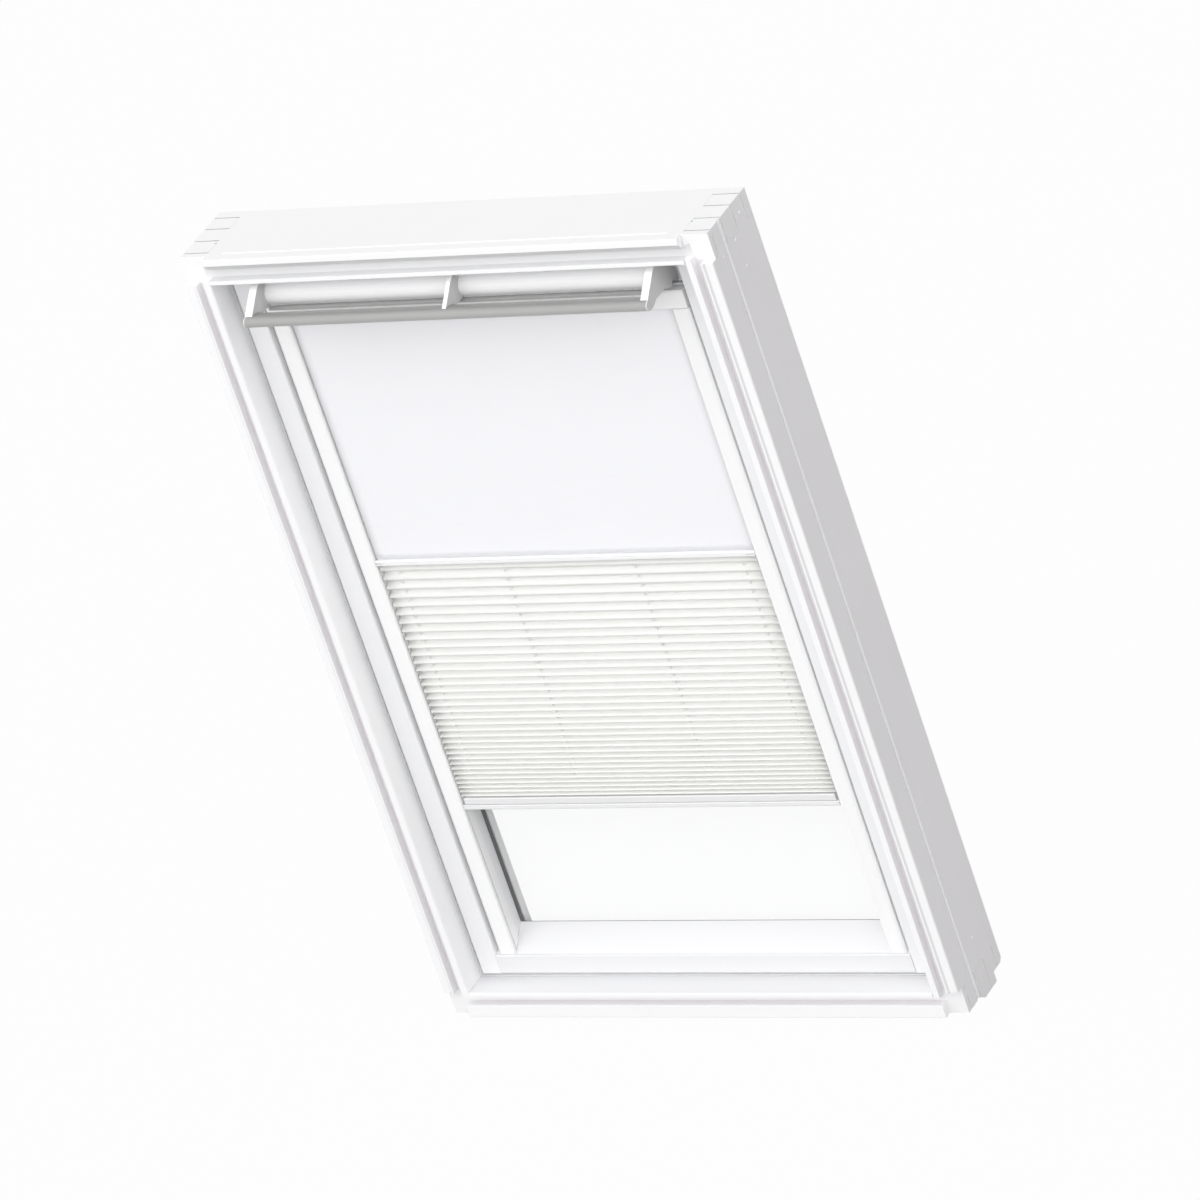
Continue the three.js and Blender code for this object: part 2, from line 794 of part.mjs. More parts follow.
// Roller casing: a thin folded shell, open at the back, with the slot for the cloth
function blindCasing() {
  const { front, wall, back, arris } = casing;
  const section = [
    [front, casingBottom + arris],
    [front, casingTop - arris],
    [front + arris, casingTop],
    [back, casingTop],
    [back, casingTop - wall],
    [front + arris + wall, casingTop - wall],
    [front + wall, casingTop - arris - wall],
    [front + wall, casingBottom + arris + wall],
    [front + arris + wall, casingBottom + wall],
    [front + casing.bottomLip, casingBottom + wall],
    [front + casing.bottomLip, casingBottom],
    [front + arris, casingBottom],
  ];
  const reach = edge.channel + channel.width;
  let solid = prism(section, -reach, reach, alongX);
  for (const [, side] of sides) {
    const near = endPlateInner() - seat;
    const x = side > 0 ? [near, half] : [-half, -near];
    const z = [casingBottom - overrun, casingTop + overrun];
    solid = solid.subtract(block(x, [sash.ledgeDepth - seat, casing.back + overrun], z));
  }
  return solid;
}

const endPlate = { thickness: 2, lift: 1.5 };

function endPlateInner() {
  return edge.reveal - seat - endPlate.thickness;
}

// End cap of the casing: the plug that closes the casing over the channel, and the plate that carries the roller
function endCap(side) {
  const x = (near, far) => (side > 0 ? [near, far] : [-far, -near]);
  const { arris, wall } = casing;
  const front = casing.front + wall + seat;
  const low = casingBottom + wall + seat;
  const high = casingTop - wall - seat;
  const near = endPlateInner();
  const blockBack = sash.ledgeDepth - seat;
  const outline = [
    [front, low + arris],
    [front, high - arris],
    [front + arris, high],
    [blockBack, high],
    [blockBack, low],
    [front + arris, low],
  ];
  const plateOutline = [
    [front + arris, low + endPlate.lift],
    [front + arris, high - endPlate.lift],
    [casing.back, high - endPlate.lift],
    [casing.back, low + endPlate.lift],
  ];
  const outer = x(edge.reveal - seat, edge.channel + channel.width);
  const thin = x(near, edge.reveal);
  const body = prism(outline, outer[0], outer[1], alongX);
  const plate = prism(plateOutline, thin[0], thin[1], alongX);
  const bore = rod(
    roller.pinRadius + roller.pinGap, side * (near - overrun), side * (edge.reveal - seat),
    roller.depth, rollerHeight, roller.sides,
  );
  const relief = block(
    x(edge.reveal - weld, edge.reveal + overrun), [blockBack - weld, casing.back + overrun],
    [casingBottom, casingTop],
  );
  return body.add(plate).subtract(bore).subtract(relief);
}

// Side channel: a square profile with a slot for the gliders, cut at its foot to the rail's slope
function sideChannel(side) {
  const near = edge.channel;
  const far = near + channel.width;
  const back = sash.ledgeDepth - seat;
  const section = [
    [near, channel.face + channel.arris],
    [near + channel.arris, channel.face],
    [far - channel.shoulder, channel.face],
    [far, channel.face + channel.shoulderDrop],
    [far, back],
    [near, back],
    [near, channel.slotBack],
    [near + channel.slotDepth, channel.slotBack],
    [near + channel.slotDepth, channel.slotFront],
    [near, channel.slotFront],
  ].map(([x, y]) => [side * x, y]);
  const footCut = bottomRailSection().map(([y, z]) => [y, z + seat * 2]);
  const low = prism(footCut, -half, half, alongX);
  return prism(section, edge.bottom + sash.bottomFace, casingBottom - seat, alongZ).subtract(low);
}

// Small plug at the foot of each channel's slot
function channelStop(side) {
  const near = edge.channel + channel.arris;
  const far = edge.channel + channel.slotDepth - seat;
  const x = side > 0 ? [near, far] : [-far, -near];
  const top = revealTop - channel.stopDrop;
  return block(x, [channel.slotFront + seat, channel.slotBack - seat], [top - channel.stop, top]);
}

function blackoutCloth() {
  const back = roller.depth - roller.coilRadius - seat;
  const foot = middleRail.bottom + middleRail.height + seat;
  return block([-cloth.edge, cloth.edge], [back - cloth.thickness, back], [foot, rollerHeight]);
}

function blindGroup() {
  const group = new THREE.Group();
  group.add(mesh('blind_casing', blindCasing(), lacquer));
  for (const [name, side] of sides) {
    group.add(mesh(`blind_end_cap_${name}`, endCap(side), lacquer));
    group.add(mesh(`side_channel_${name}`, sideChannel(side), lacquer));
    group.add(mesh(`channel_stop_${name}`, channelStop(side), greyPlastic));
  }
  group.add(mesh('blackout_cloth', blackoutCloth(), coolCloth));
  return group;
}

// Hollow round bar along X, turned from a closed profile
function tube(outer, inner, from, to) {
  const profile = [
    [inner, from],
    [outer, from],
    [outer, to],
    [inner, to],
    [inner, from],
  ].map(([radius, along]) => new THREE.Vector2(radius, along));
  const geometry = new THREE.LatheGeometry(profile, roller.sides);
  geometry.rotateZ(-Math.PI / 2);
  geometry.translate(0, roller.depth, rollerHeight);
  return toSolid(geometry);
}

function rollerPin(side, tubeEnd) {
  const plug = rod(
    roller.tubeRadius - roller.tubeWall - seat, side * (tubeEnd - roller.pinRadius * 4), side * tubeEnd,
    roller.depth, rollerHeight, roller.sides,
  );
  const pinEnd = edge.reveal - seat * 2;
  const pin = rod(roller.pinRadius, side * (tubeEnd - weld), side * pinEnd, roller.depth, rollerHeight, roller.sides);
  return plug.add(pin);
}

function rollerGroup() {
  const group = new THREE.Group();
  const tubeEnd = endPlateInner() - roller.endGap;
  const bore = roller.tubeRadius - roller.tubeWall;
  const coilEnd = cloth.edge - roller.coilInset;
  const motorEnd = -(tubeEnd - roller.pinRadius * 4) + seat;
  group.add(mesh('roller_tube', tube(roller.tubeRadius, bore, -tubeEnd, tubeEnd), satin));
  group.add(mesh('cloth_coil', tube(roller.coilRadius, roller.tubeRadius + seat, -coilEnd, coilEnd), coolCloth));
  const motor = rod(bore - seat, motorEnd, motorEnd + roller.motorLength, roller.depth, rollerHeight, roller.sides);
  group.add(mesh('spring_motor', motor, steel));
  for (const [name, side] of sides) group.add(mesh(`roller_pin_${name}`, rollerPin(side, tubeEnd), greyPlastic));
  return group;
}

// A blind rail with a fine groove along its face
function blindRail({ bottom, height, shoulder }) {
  const { front, depth, arris, groove, grooveDepth } = rail;
  const lip = bottom + height - shoulder;
  const line = bottom + (height - shoulder) / 2;
  const section = [
    [front + arris, bottom],
    [front, bottom + arris],
    [front, line],
    [front + grooveDepth, line + groove / 2],
    [front, line + groove],
    [front, lip - arris],
    [front + arris, lip],
    [front + depth - arris, lip],
    [front + depth, lip - arris],
    [front + depth, bottom + arris],
    [front + depth - arris, bottom],
  ];
  const reach = edge.channel - rail.endGap;
  const solid = prism(section, -reach, reach, alongX);
  if (shoulder > 0) {
    const upper = [
      [front + rail.shoulderGrooveDepth, lip - arris],
      [front + rail.shoulderGrooveDepth, lip + rail.shoulderGroove],
      [front + rail.shoulderSetback, lip + rail.shoulderGroove],
      [front + rail.shoulderSetback, bottom + height - arris],
      [front + rail.shoulderSetback + arris, bottom + height],
      [front + depth - arris, bottom + height],
      [front + depth - arris, lip - arris],
    ];
    return solid.add(prism(upper, rail.shoulderInset - reach, reach - rail.shoulderInset, alongX));
  }
  const middle = bottom + height / 2;
  const slot = [middle - rail.slotHeight / 2, middle + rail.slotHeight / 2];
  return sides.reduce((made, [, side]) => {
    const x = side > 0 ? [reach - rail.slotLength, reach + overrun] : [-reach - overrun, rail.slotLength - reach];
    return made.subtract(block(x, [front - overrun, front + rail.slotDepth], slot));
  }, solid);
}

function railGlider(side, { bottom, height, shoulder }) {
  const near = edge.channel - rail.endGap + seat;
  const middle = (channel.slotFront + channel.slotBack) / 2;
  const centre = bottom + (height - shoulder) / 2;
  const x = side > 0 ? [near, near + glider.length] : [-near - glider.length, -near];
  const y = [middle - glider.thickness / 2, middle + glider.thickness / 2];
  return block(x, y, [centre - glider.height / 2, centre + glider.height / 2]);
}

// Pleated cloth: each leaf keeps its width, so close folds stand deeper than stretched ones
function pleatedCloth() {
  const top = middleRail.bottom - seat;
  const bottom = bottomRail.bottom + bottomRail.height + seat;
  const mean = (top - bottom) / pleat.count;
  const folds = [];
  let height = top;
  for (let i = 0; i < pleat.count; i += 1) {
    const place = (i + 0.5) / pleat.count;
    const pitch = mean * (1 + pleat.stretchShare * (1 - 2 * place));
    const reach = Math.sqrt(pleat.leaf ** 2 - (pitch / 2) ** 2) / 2;
    folds.push([pleat.centre + reach, height]);
    folds.push([pleat.centre - reach, height - pitch / 2]);
    height -= pitch;
  }
  folds.push([folds[folds.length - 2][0], bottom]);
  const front = folds.map(([y, z]) => [y - pleat.sheet / 2, z]);
  const back = folds.map(([y, z]) => [y + pleat.sheet / 2, z]).reverse();
  return prism([...front, ...back], -cloth.edge, cloth.edge, alongX);
}

function middleGroup() {
  const group = new THREE.Group();
  group.add(mesh('middle_rail', blindRail(middleRail), lacquer));
  for (const [name, side] of sides) {
    group.add(mesh(`middle_glider_${name}`, railGlider(side, middleRail), greyPlastic));
  }
  group.add(mesh('pleated_cloth', pleatedCloth(), warmCloth));
  return group;
}

function bottomGroup() {
  const group = new THREE.Group();
  group.add(mesh('bottom_rail', blindRail(bottomRail), lacquer));
  for (const [name, side] of sides) {
    group.add(mesh(`bottom_glider_${name}`, railGlider(side, bottomRail), greyPlastic));
  }
  return group;
}

// Flap: half an elliptical shell, open to the back
function ventFlap() {
  const centre = [flap.back, ventCentre];
  const outer = ellipse(centre, flap.reach, flap.height / 2, flap.sides, Math.PI / 2, Math.PI);
  const inner = ellipse(centre, flap.reach - flap.wall, flap.height / 2 - flap.wall, flap.sides, Math.PI / 2, Math.PI);
  const reach = ventEnd - bracket.width - seat;
  return prism([...outer, ...inner.reverse()], -reach, reach, alongX);
}

// Side view of the curved arm from the flap to the bar
function armOutline() {
  const tip = [bar.depth - bar.halfDepth * bracket.tipShare, bar.height + bar.halfHeight * bracket.tipShare];
  const root = flap.back - flap.reach;
  const shape = new THREE.Shape();
  shape.moveTo(flap.back - flap.reach * bracket.topShare, ventTop);
  shape.quadraticCurveTo(
    root + bracket.crownInset, ventTop + bracket.crownRise,
    root - bracket.shoulderReach, ventTop - bracket.shoulderDrop,
  );
  shape.lineTo(tip[0], tip[1]);
  shape.lineTo(bar.depth, bar.height);
  shape.lineTo(bar.depth + bar.halfDepth, bar.height - bar.halfHeight * bracket.heelShare);
  shape.lineTo(root + trim.halfDepth / 2, trim.height + trim.halfHeight);
  shape.lineTo(root + flap.reach / 3, ventCentre - flap.height / 3);
  return shape.getPoints(bracketSteps).map((point) => [point.x, point.y]);
}

const bracketSteps = 9;

// Grip section, full at its front and thinner towards the flap
function barOutline(grow) {
  return ellipse([0, 0], 1, 1, bar.sides).map(([y, z]) => [
    bar.depth + y * (bar.halfDepth + grow),
    bar.height + z * (1 - bar.taperShare * y) * (bar.halfHeight + grow),
  ]);
}

function barSolid(grow, reach) {
  return prism(barOutline(grow), -reach, reach, alongX);
}

function flapSpace(grow) {
  const centre = [flap.back, ventCentre];
  const outline = ellipse(centre, flap.reach + grow, flap.height / 2 + grow, flap.sides, Math.PI / 2, Math.PI);
  return prism(outline, -half, half, alongX);
}

// End bracket: the arm, and the end plate of the flap
function endBracket(side) {
  const x = (near, far) => (side > 0 ? [near, far] : [-far, -near]);
  const arm = x(ventEnd - bracket.finWidth, ventEnd);
  const plate = x(ventEnd - bracket.width, ventEnd);
  const centre = [flap.back, ventCentre];
  const outline = ellipse(centre, flap.reach, flap.height / 2, flap.sides, Math.PI / 2, Math.PI);
  const fin = prism(armOutline(), arm[0], arm[1], alongX);
  const pinHole = rod(
    ventPin.radius, side * (ventEnd - bracket.plate), side * (ventEnd + overrun),
    pinPlace.depth, pinPlace.height, ventPin.sides,
  );
  const cap = x(ventEnd - bracket.cap, ventEnd);
  return fin
    .subtract(barSolid(seat, ventEnd - bracket.cap))
    .add(prism(outline, plate[0], plate[1], alongX))
    .add(block(plate, [flap.back - weld, flap.back + bracket.tail], [ventTop - flap.height, ventTop]))
    .add(prism(barOutline(0), cap[0], cap[1], alongX))
    .subtract(pinHole);
}

function centreBracket() {
  const reach = bracket.centreWidth / 2;
  const fin = prism(armOutline(), -reach, reach, alongX);
  return fin.subtract(barSolid(seat, half)).subtract(flapSpace(seat)).subtract(trimSolid(seat, half));
}

function trimSolid(grow, reach) {
  const section = ellipse([trim.depth, trim.height], trim.halfDepth + grow, trim.halfHeight + grow, trim.sides);
  return prism(section, -reach, reach, alongX);
}

function ventHingePin(side) {
  const near = ventEnd - bracket.plate + seat;
  const far = edge.step + ventPin.hole - seat;
  return rod(ventPin.radius - seat, side * near, side * far, pinPlace.depth, pinPlace.height, ventPin.sides);
}

function ventGroup() {
  const group = new THREE.Group();
  const inner = ventEnd - bracket.width - seat;
  group.add(mesh('vent_flap', ventFlap(), lacquer));
  group.add(mesh('control_bar', barSolid(0, ventEnd - bracket.cap - seat), satin));
  group.add(mesh('trim_rail', trimSolid(0, inner), satin));
  group.add(mesh('bracket_centre', centreBracket(), greyPlastic));
  for (const [name, side] of sides) {
    group.add(mesh(`bracket_${name}`, endBracket(side), greyPlastic));
    group.add(mesh(`vent_pin_${name}`, ventHingePin(side), steel));
  }
  return group;
}

// The origin is the middle of the sill's flat underside
const roofWindow = new THREE.Group();
roofWindow.position.set(0, -(drip.flat + drip.slope + drip.nose / 2), drip.drop);
roofWindow.add(frameGroup(), sashGroup(), blindGroup(), rollerGroup(), middleGroup(), bottomGroup(), ventGroup());

export default roofWindow;
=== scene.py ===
"""Looks of a centre-pivot roof window with its fitted two-part blind.

The window is white painted timber. Its sash carries double glazing, a ventilation flap with a control bar, and a
blind of two cloths: a smooth blackout cloth on a spring roller above, and a pleated cloth between two rails below.
"""

from __future__ import annotations

import json
import logging
import math
from dataclasses import dataclass
from enum import Enum
from typing import Callable

import bmesh
import bpy
from mathutils import Matrix, Vector

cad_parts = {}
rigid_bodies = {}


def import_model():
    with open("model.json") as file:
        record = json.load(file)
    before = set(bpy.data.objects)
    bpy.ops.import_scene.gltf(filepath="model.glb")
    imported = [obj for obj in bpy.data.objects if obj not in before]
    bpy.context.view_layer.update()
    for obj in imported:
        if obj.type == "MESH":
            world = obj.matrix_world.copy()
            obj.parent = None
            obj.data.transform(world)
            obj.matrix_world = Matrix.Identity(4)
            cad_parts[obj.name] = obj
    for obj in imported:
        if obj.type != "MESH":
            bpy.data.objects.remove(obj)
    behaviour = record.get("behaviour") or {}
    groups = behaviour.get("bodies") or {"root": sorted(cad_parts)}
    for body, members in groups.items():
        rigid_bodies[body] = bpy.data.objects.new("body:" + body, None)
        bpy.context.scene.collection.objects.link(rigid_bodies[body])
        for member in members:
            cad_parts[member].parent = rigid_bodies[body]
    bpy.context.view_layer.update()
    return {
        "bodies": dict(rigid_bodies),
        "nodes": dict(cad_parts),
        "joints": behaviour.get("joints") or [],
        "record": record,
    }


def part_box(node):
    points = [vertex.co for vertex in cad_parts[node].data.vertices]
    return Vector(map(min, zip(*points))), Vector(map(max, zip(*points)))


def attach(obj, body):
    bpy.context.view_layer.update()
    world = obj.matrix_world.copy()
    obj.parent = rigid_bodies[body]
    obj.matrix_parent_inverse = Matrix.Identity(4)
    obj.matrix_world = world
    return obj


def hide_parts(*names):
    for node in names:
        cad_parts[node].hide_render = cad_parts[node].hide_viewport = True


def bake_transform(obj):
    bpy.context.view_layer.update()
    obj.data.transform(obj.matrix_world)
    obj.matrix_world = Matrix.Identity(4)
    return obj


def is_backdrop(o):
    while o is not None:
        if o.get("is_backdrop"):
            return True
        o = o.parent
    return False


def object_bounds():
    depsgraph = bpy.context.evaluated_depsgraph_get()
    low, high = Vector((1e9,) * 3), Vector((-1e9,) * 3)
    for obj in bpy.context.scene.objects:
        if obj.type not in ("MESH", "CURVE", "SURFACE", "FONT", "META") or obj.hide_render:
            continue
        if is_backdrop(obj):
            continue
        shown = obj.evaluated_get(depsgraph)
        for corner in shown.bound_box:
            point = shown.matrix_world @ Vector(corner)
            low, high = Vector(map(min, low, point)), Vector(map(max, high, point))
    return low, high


LOG = logging.getLogger("roof_window")
MM = 0.001

Colour = tuple[float, float, float]


def tone(red: float, green: float, blue: float) -> Colour:
    """Turn an 8-bit display colour into a linear one.

    Args:
        red: Red, from 0 to 255.
        green: Green, from 0 to 255.
        blue: Blue, from 0 to 255.

    Returns:
        The linear colour.
    """

    def linear(level: float) -> float:
        share = level / 255
        return share / 12.92 if share <= 0.04045 else ((share + 0.055) / 1.055) ** 2.4

    return linear(red), linear(green), linear(blue)


class Graph:
    """A node tree under construction, for a material or for geometry."""

    def __init__(self, tree: bpy.types.NodeTree) -> None:
        """Keep the tree that the nodes go into.

        Args:
            tree: The tree to fill.
        """
        self.tree = tree

    def node(self, kind: str, settings: dict | None = None, sockets: dict | None = None) -> bpy.types.Node:
        """Add one node.

        Args:
            kind: The node's type name.
            settings: Attributes that are set first.
            sockets: Values or links for the inputs, by name or by number.

        Returns:
            The new node.
        """
        made = self.tree.nodes.new(kind)
        for key, value in (settings or {}).items():
            setattr(made, key, value)
        for key, value in (sockets or {}).items():
            self.feed(made.inputs[key], value)
        return made

    def feed(self, socket: bpy.types.NodeSocket, value: object) -> None:
        """Link or set one input.

        Args:
            socket: The input.
            value: A wrapped socket, a socket, or a plain value.
        """
        if isinstance(value, Value):
            self.tree.links.new(value.socket, socket)
        elif isinstance(value, bpy.types.NodeSocket):
            self.tree.links.new(value, socket)
        elif isinstance(value, tuple) and len(value) == 3 and socket.type == "RGBA":
            socket.default_value = (*value, 1.0)
        else:
            socket.default_value = value

    def value(self, node: bpy.types.Node, output: str | int = 0) -> Value:
        """Wrap a node's output for use in an expression.

        Args:
            node: The node.
            output: The output's name or number.

        Returns:
            The wrapped output.
        """
        return Value(self, node.outputs[output])

    def math(self, operation: str, *terms: object) -> Value:
        """Add a Math node.

        Args:
            operation: The node's operation.
            terms: Its inputs, in order.

        Returns:
            The wrapped result.
        """
        sockets = dict(enumerate(terms))
        return self.value(self.node("ShaderNodeMath", {"operation": operation}, sockets))

    def mix(self, factor: object, first: object, second: object) -> Value:
        """Mix two colours.

        Args:
            factor: Share of the second colour.
            first: The first colour.
            second: The second colour.

        Returns:
            The wrapped colour.
        """
        made = self.node("ShaderNodeMix", {"data_type": "RGBA"}, {0: factor, 6: first, 7: second})
        return self.value(made, 2)


def operator(operation: str, swapped: bool = False) -> Callable[[Value, object], Value]:
    """Make an arithmetic method for wrapped sockets.

    Args:
        operation: Operation of the Math node.
        swapped: Whether the socket is the right-hand term.

    Returns:
        The method.
    """

    def apply(self: Value, other: object) -> Value:
        terms = (other, self) if swapped else (self, other)
        return self.graph.math(operation, *terms)

    return apply


class Value:
    """A socket that takes part in Python expressions."""

    def __init__(self, graph: Graph, socket: bpy.types.NodeSocket) -> None:
        """Keep the socket and the graph that it is in.

        Args:
            graph: The graph.
            socket: An output socket.
        """
        self.graph = graph
        self.socket = socket

    __add__, __radd__ = operator("ADD"), operator("ADD", True)
    __sub__, __rsub__ = operator("SUBTRACT"), operator("SUBTRACT", True)
    __mul__, __rmul__ = operator("MULTIPLY"), operator("MULTIPLY", True)
    __truediv__, __pow__ = operator("DIVIDE"), operator("POWER")

    def __abs__(self) -> Value:
        """Return the size without its sign."""
        return self.graph.math("ABSOLUTE", self)


class Grain(Enum):
    """The axis that a brush stroke or a polishing line follows."""

    ACROSS = (0.04, 1.0, 1.0)
    UPWARD = (1.0, 1.0, 0.04)


class Surface(Graph):
    """The graph of one finish, around its principled shader."""

    EVEN = (1.0, 1.0, 1.0)

    def __init__(self, tree: bpy.types.NodeTree, colour: Colour, roughness: float) -> None:
        """Add the shader and the output.

        Args:
            tree: The material's tree.
            colour: Linear base colour.
            roughness: Mean roughness.
        """
        super().__init__(tree)
        self.shader = self.node("ShaderNodeBsdfPrincipled", None, {"Base Color": colour, "Roughness": roughness})
        self.node("ShaderNodeOutputMaterial", None, {"Surface": self.shader.outputs[0]})

    def set(self, socket: str, value: object) -> None:
        """Set or link one of the shader's sockets.

        Args:
            socket: The socket's name.
            value: A wrapped socket or a constant.
        """
        self.feed(self.shader.inputs[socket], value)

    def place(self, stretch: tuple[float, float, float] = EVEN) -> Value:
        """Give object coordinates.

        Args:
            stretch: Scale along each axis, below 1 to lengthen a pattern.

        Returns:
            The wrapped vector.
        """
        coordinates = self.node("ShaderNodeTexCoord").outputs["Object"]
        return self.value(self.node("ShaderNodeMapping", None, {"Vector": coordinates, "Scale": stretch}))

    def noise(self, waves: float, octaves: float, stretch: tuple[float, float, float] = EVEN) -> Value:
        """Give a noise pattern on object coordinates.

        Args:
            waves: Waves per metre.
            octaves: Octaves.
            stretch: Scale along each axis, below 1 to lengthen the pattern.

        Returns:
            The wrapped pattern, from -0.5 to 0.5 or little more.
        """
        sockets = {"Vector": self.place(stretch), "Scale": waves, "Detail": octaves}
        return self.value(self.node("ShaderNodeTexNoise", None, sockets)) - 0.5

    def bump(self, height: Value, strength: float, depth: float) -> None:
        """Raise a pattern on the surface.

        Args:
            height: The pattern.
            strength: Share of the bump that shows.
            depth: Height of the pattern, in metres.
        """
        made = self.node("ShaderNodeBump", None, {"Strength": strength, "Distance": depth, "Height": height})
        self.set("Normal", self.value(made))


@dataclass(frozen=True)
class Finish:
    """A surface finish that becomes one material.

    Attributes:
        name: The material's name.
        colour: Linear base colour.
        roughness: Mean roughness.
    """

    name: str
    colour: Colour
    roughness: float

    def material(self) -> bpy.types.Material:
        """Build the material.

        Returns:
            The finished material.
        """
        material = bpy.data.materials.new(self.name)
        material.use_nodes = True
        material.node_tree.nodes.clear()
        self.dress(Surface(material.node_tree, self.colour, self.roughness))
        return material

    def dress(self, surface: Surface) -> None:
        """Add the finish's own detail.

        Args:
            surface: The material's graph.
        """


@dataclass(frozen=True)
class PaintedTimber(Finish):
    """White paint brushed along planed pine, with the grain faintly raised under it."""

    STROKES = 900.0
    RINGS = 160.0
    CLOUDS = 5.0
    RELIEF = 0.12 * MM

    grain: Grain = Grain.UPWARD
    shade: Colour = (0.8, 0.8, 0.806)

    def dress(self, surface: Surface) -> None:
        """Add brush lines, raised grain and a slow change of tone."""
        strokes = surface.noise(self.STROKES, 3.0, self.grain.value)
        rings = surface.noise(self.RINGS, 5.0, self.grain.value)
        clouds = surface.noise(self.CLOUDS, 2.0)
        drift = clouds * 0.16 + rings * 0.1 + 0.08
        surface.set("Base Color", surface.mix(drift, self.colour, self.shade))
        surface.set("Roughness", self.roughness + strokes * 0.14 + clouds * 0.1)
        surface.bump(strokes * 0.4 + rings * 0.6, 0.35, self.RELIEF)
        surface.set("Coat Weight", 0.12)
        surface.set("Coat Roughness", 0.3)


@dataclass(frozen=True)
class PowderCoat(Finish):
    """Sprayed and baked coat with a fine orange-peel surface."""

    PEEL = 1400.0
    CLOUDS = 9.0
    RELIEF = 0.06 * MM

    shade: Colour = (0.8, 0.8, 0.8)

    def dress(self, surface: Surface) -> None:
        """Add the orange peel and a slight change of gloss."""
        peel = surface.noise(self.PEEL, 2.0)
        clouds = surface.noise(self.CLOUDS, 2.0)
        surface.set("Base Color", surface.mix((clouds + 0.1) * 0.12, self.colour, self.shade))
        surface.set("Roughness", self.roughness + peel * 0.12 + clouds * 0.06)
        surface.bump(peel, 0.25, self.RELIEF)


@dataclass(frozen=True)
class MouldedPlastic(Finish):
    """Injection-moulded plastic with a spark-eroded grain."""

    GRAIN = 2600.0
    FLOW = 24.0
    RELIEF = 0.05 * MM

    shade: Colour = (0.6, 0.6, 0.6)

    def dress(self, surface: Surface) -> None:
        """Add the moulded grain and a faint flow mark."""
        grain = surface.noise(self.GRAIN, 2.0)
        flow = surface.noise(self.FLOW, 3.0)
        surface.set("Base Color", surface.mix((flow + 0.15) * 0.14, self.colour, self.shade))
        surface.set("Roughness", self.roughness + grain * 0.16)
        surface.bump(grain, 0.3, self.RELIEF)


@dataclass(frozen=True)
class BrushedMetal(Finish):
    """Metal with fine lines along the way it was drawn or polished."""

    LINES = 2200.0
    LENGTHENED = (0.012, 1.0, 1.0)
    MARKS = 30.0
    RELIEF = 0.04 * MM

    metallic: float = 1.0
    shade: Colour = (0.3, 0.3, 0.3)

    def dress(self, surface: Surface) -> None:
        """Add polishing lines and faint handling marks."""
        lines = surface.noise(self.LINES, 4.0, self.LENGTHENED)
        marks = surface.noise(self.MARKS, 4.0)
        surface.set("Metallic", self.metallic)
        drift = (lines + 0.1) * 0.3 + marks * 0.12
        surface.set("Base Color", surface.mix(drift, self.colour, self.shade))
        surface.set("Roughness", self.roughness + lines * 0.2 + marks * 0.1)
        surface.bump(lines, 0.12, self.RELIEF)


@dataclass(frozen=True)
class ExtrudedRubber(Finish):
    """Sealing rubber with faint lines from the die and a dusty bloom."""

    DUST = 60.0
    LINES = 1200.0
    RELIEF = 0.08 * MM

    bloom: Colour = (0.16, 0.16, 0.16)

    def dress(self, surface: Surface) -> None:
        """Add the bloom and the die lines."""
        dust = surface.noise(self.DUST, 5.0)
        lines = surface.noise(self.LINES, 2.0)
        surface.set("Base Color", surface.mix((dust + 0.15) * 0.7, self.colour, self.bloom))
        surface.set("Roughness", self.roughness + dust * 0.2)
        surface.bump(lines, 0.3, self.RELIEF)


@dataclass(frozen=True)
class ClearGlass(Finish):
    """Float glass that lets nearly all light through."""

    FILM = 14.0
    REFRACTION = 1.5

    opacity: float = 0.03

    def material(self) -> bpy.types.Material:
        """Build the material, which lets what is behind it show in previews too."""
        made = super().material()
        made.surface_render_method = "BLENDED"
        return made

    def dress(self, surface: Surface) -> None:
        """Make it see-through, with a film of dust that only just shows."""
        film = surface.noise(self.FILM, 4.0)
        surface.set("Alpha", self.opacity + film * 0.01)
        surface.set("Roughness", self.roughness + (film + 0.5) * 0.02)
        surface.set("IOR", self.REFRACTION)


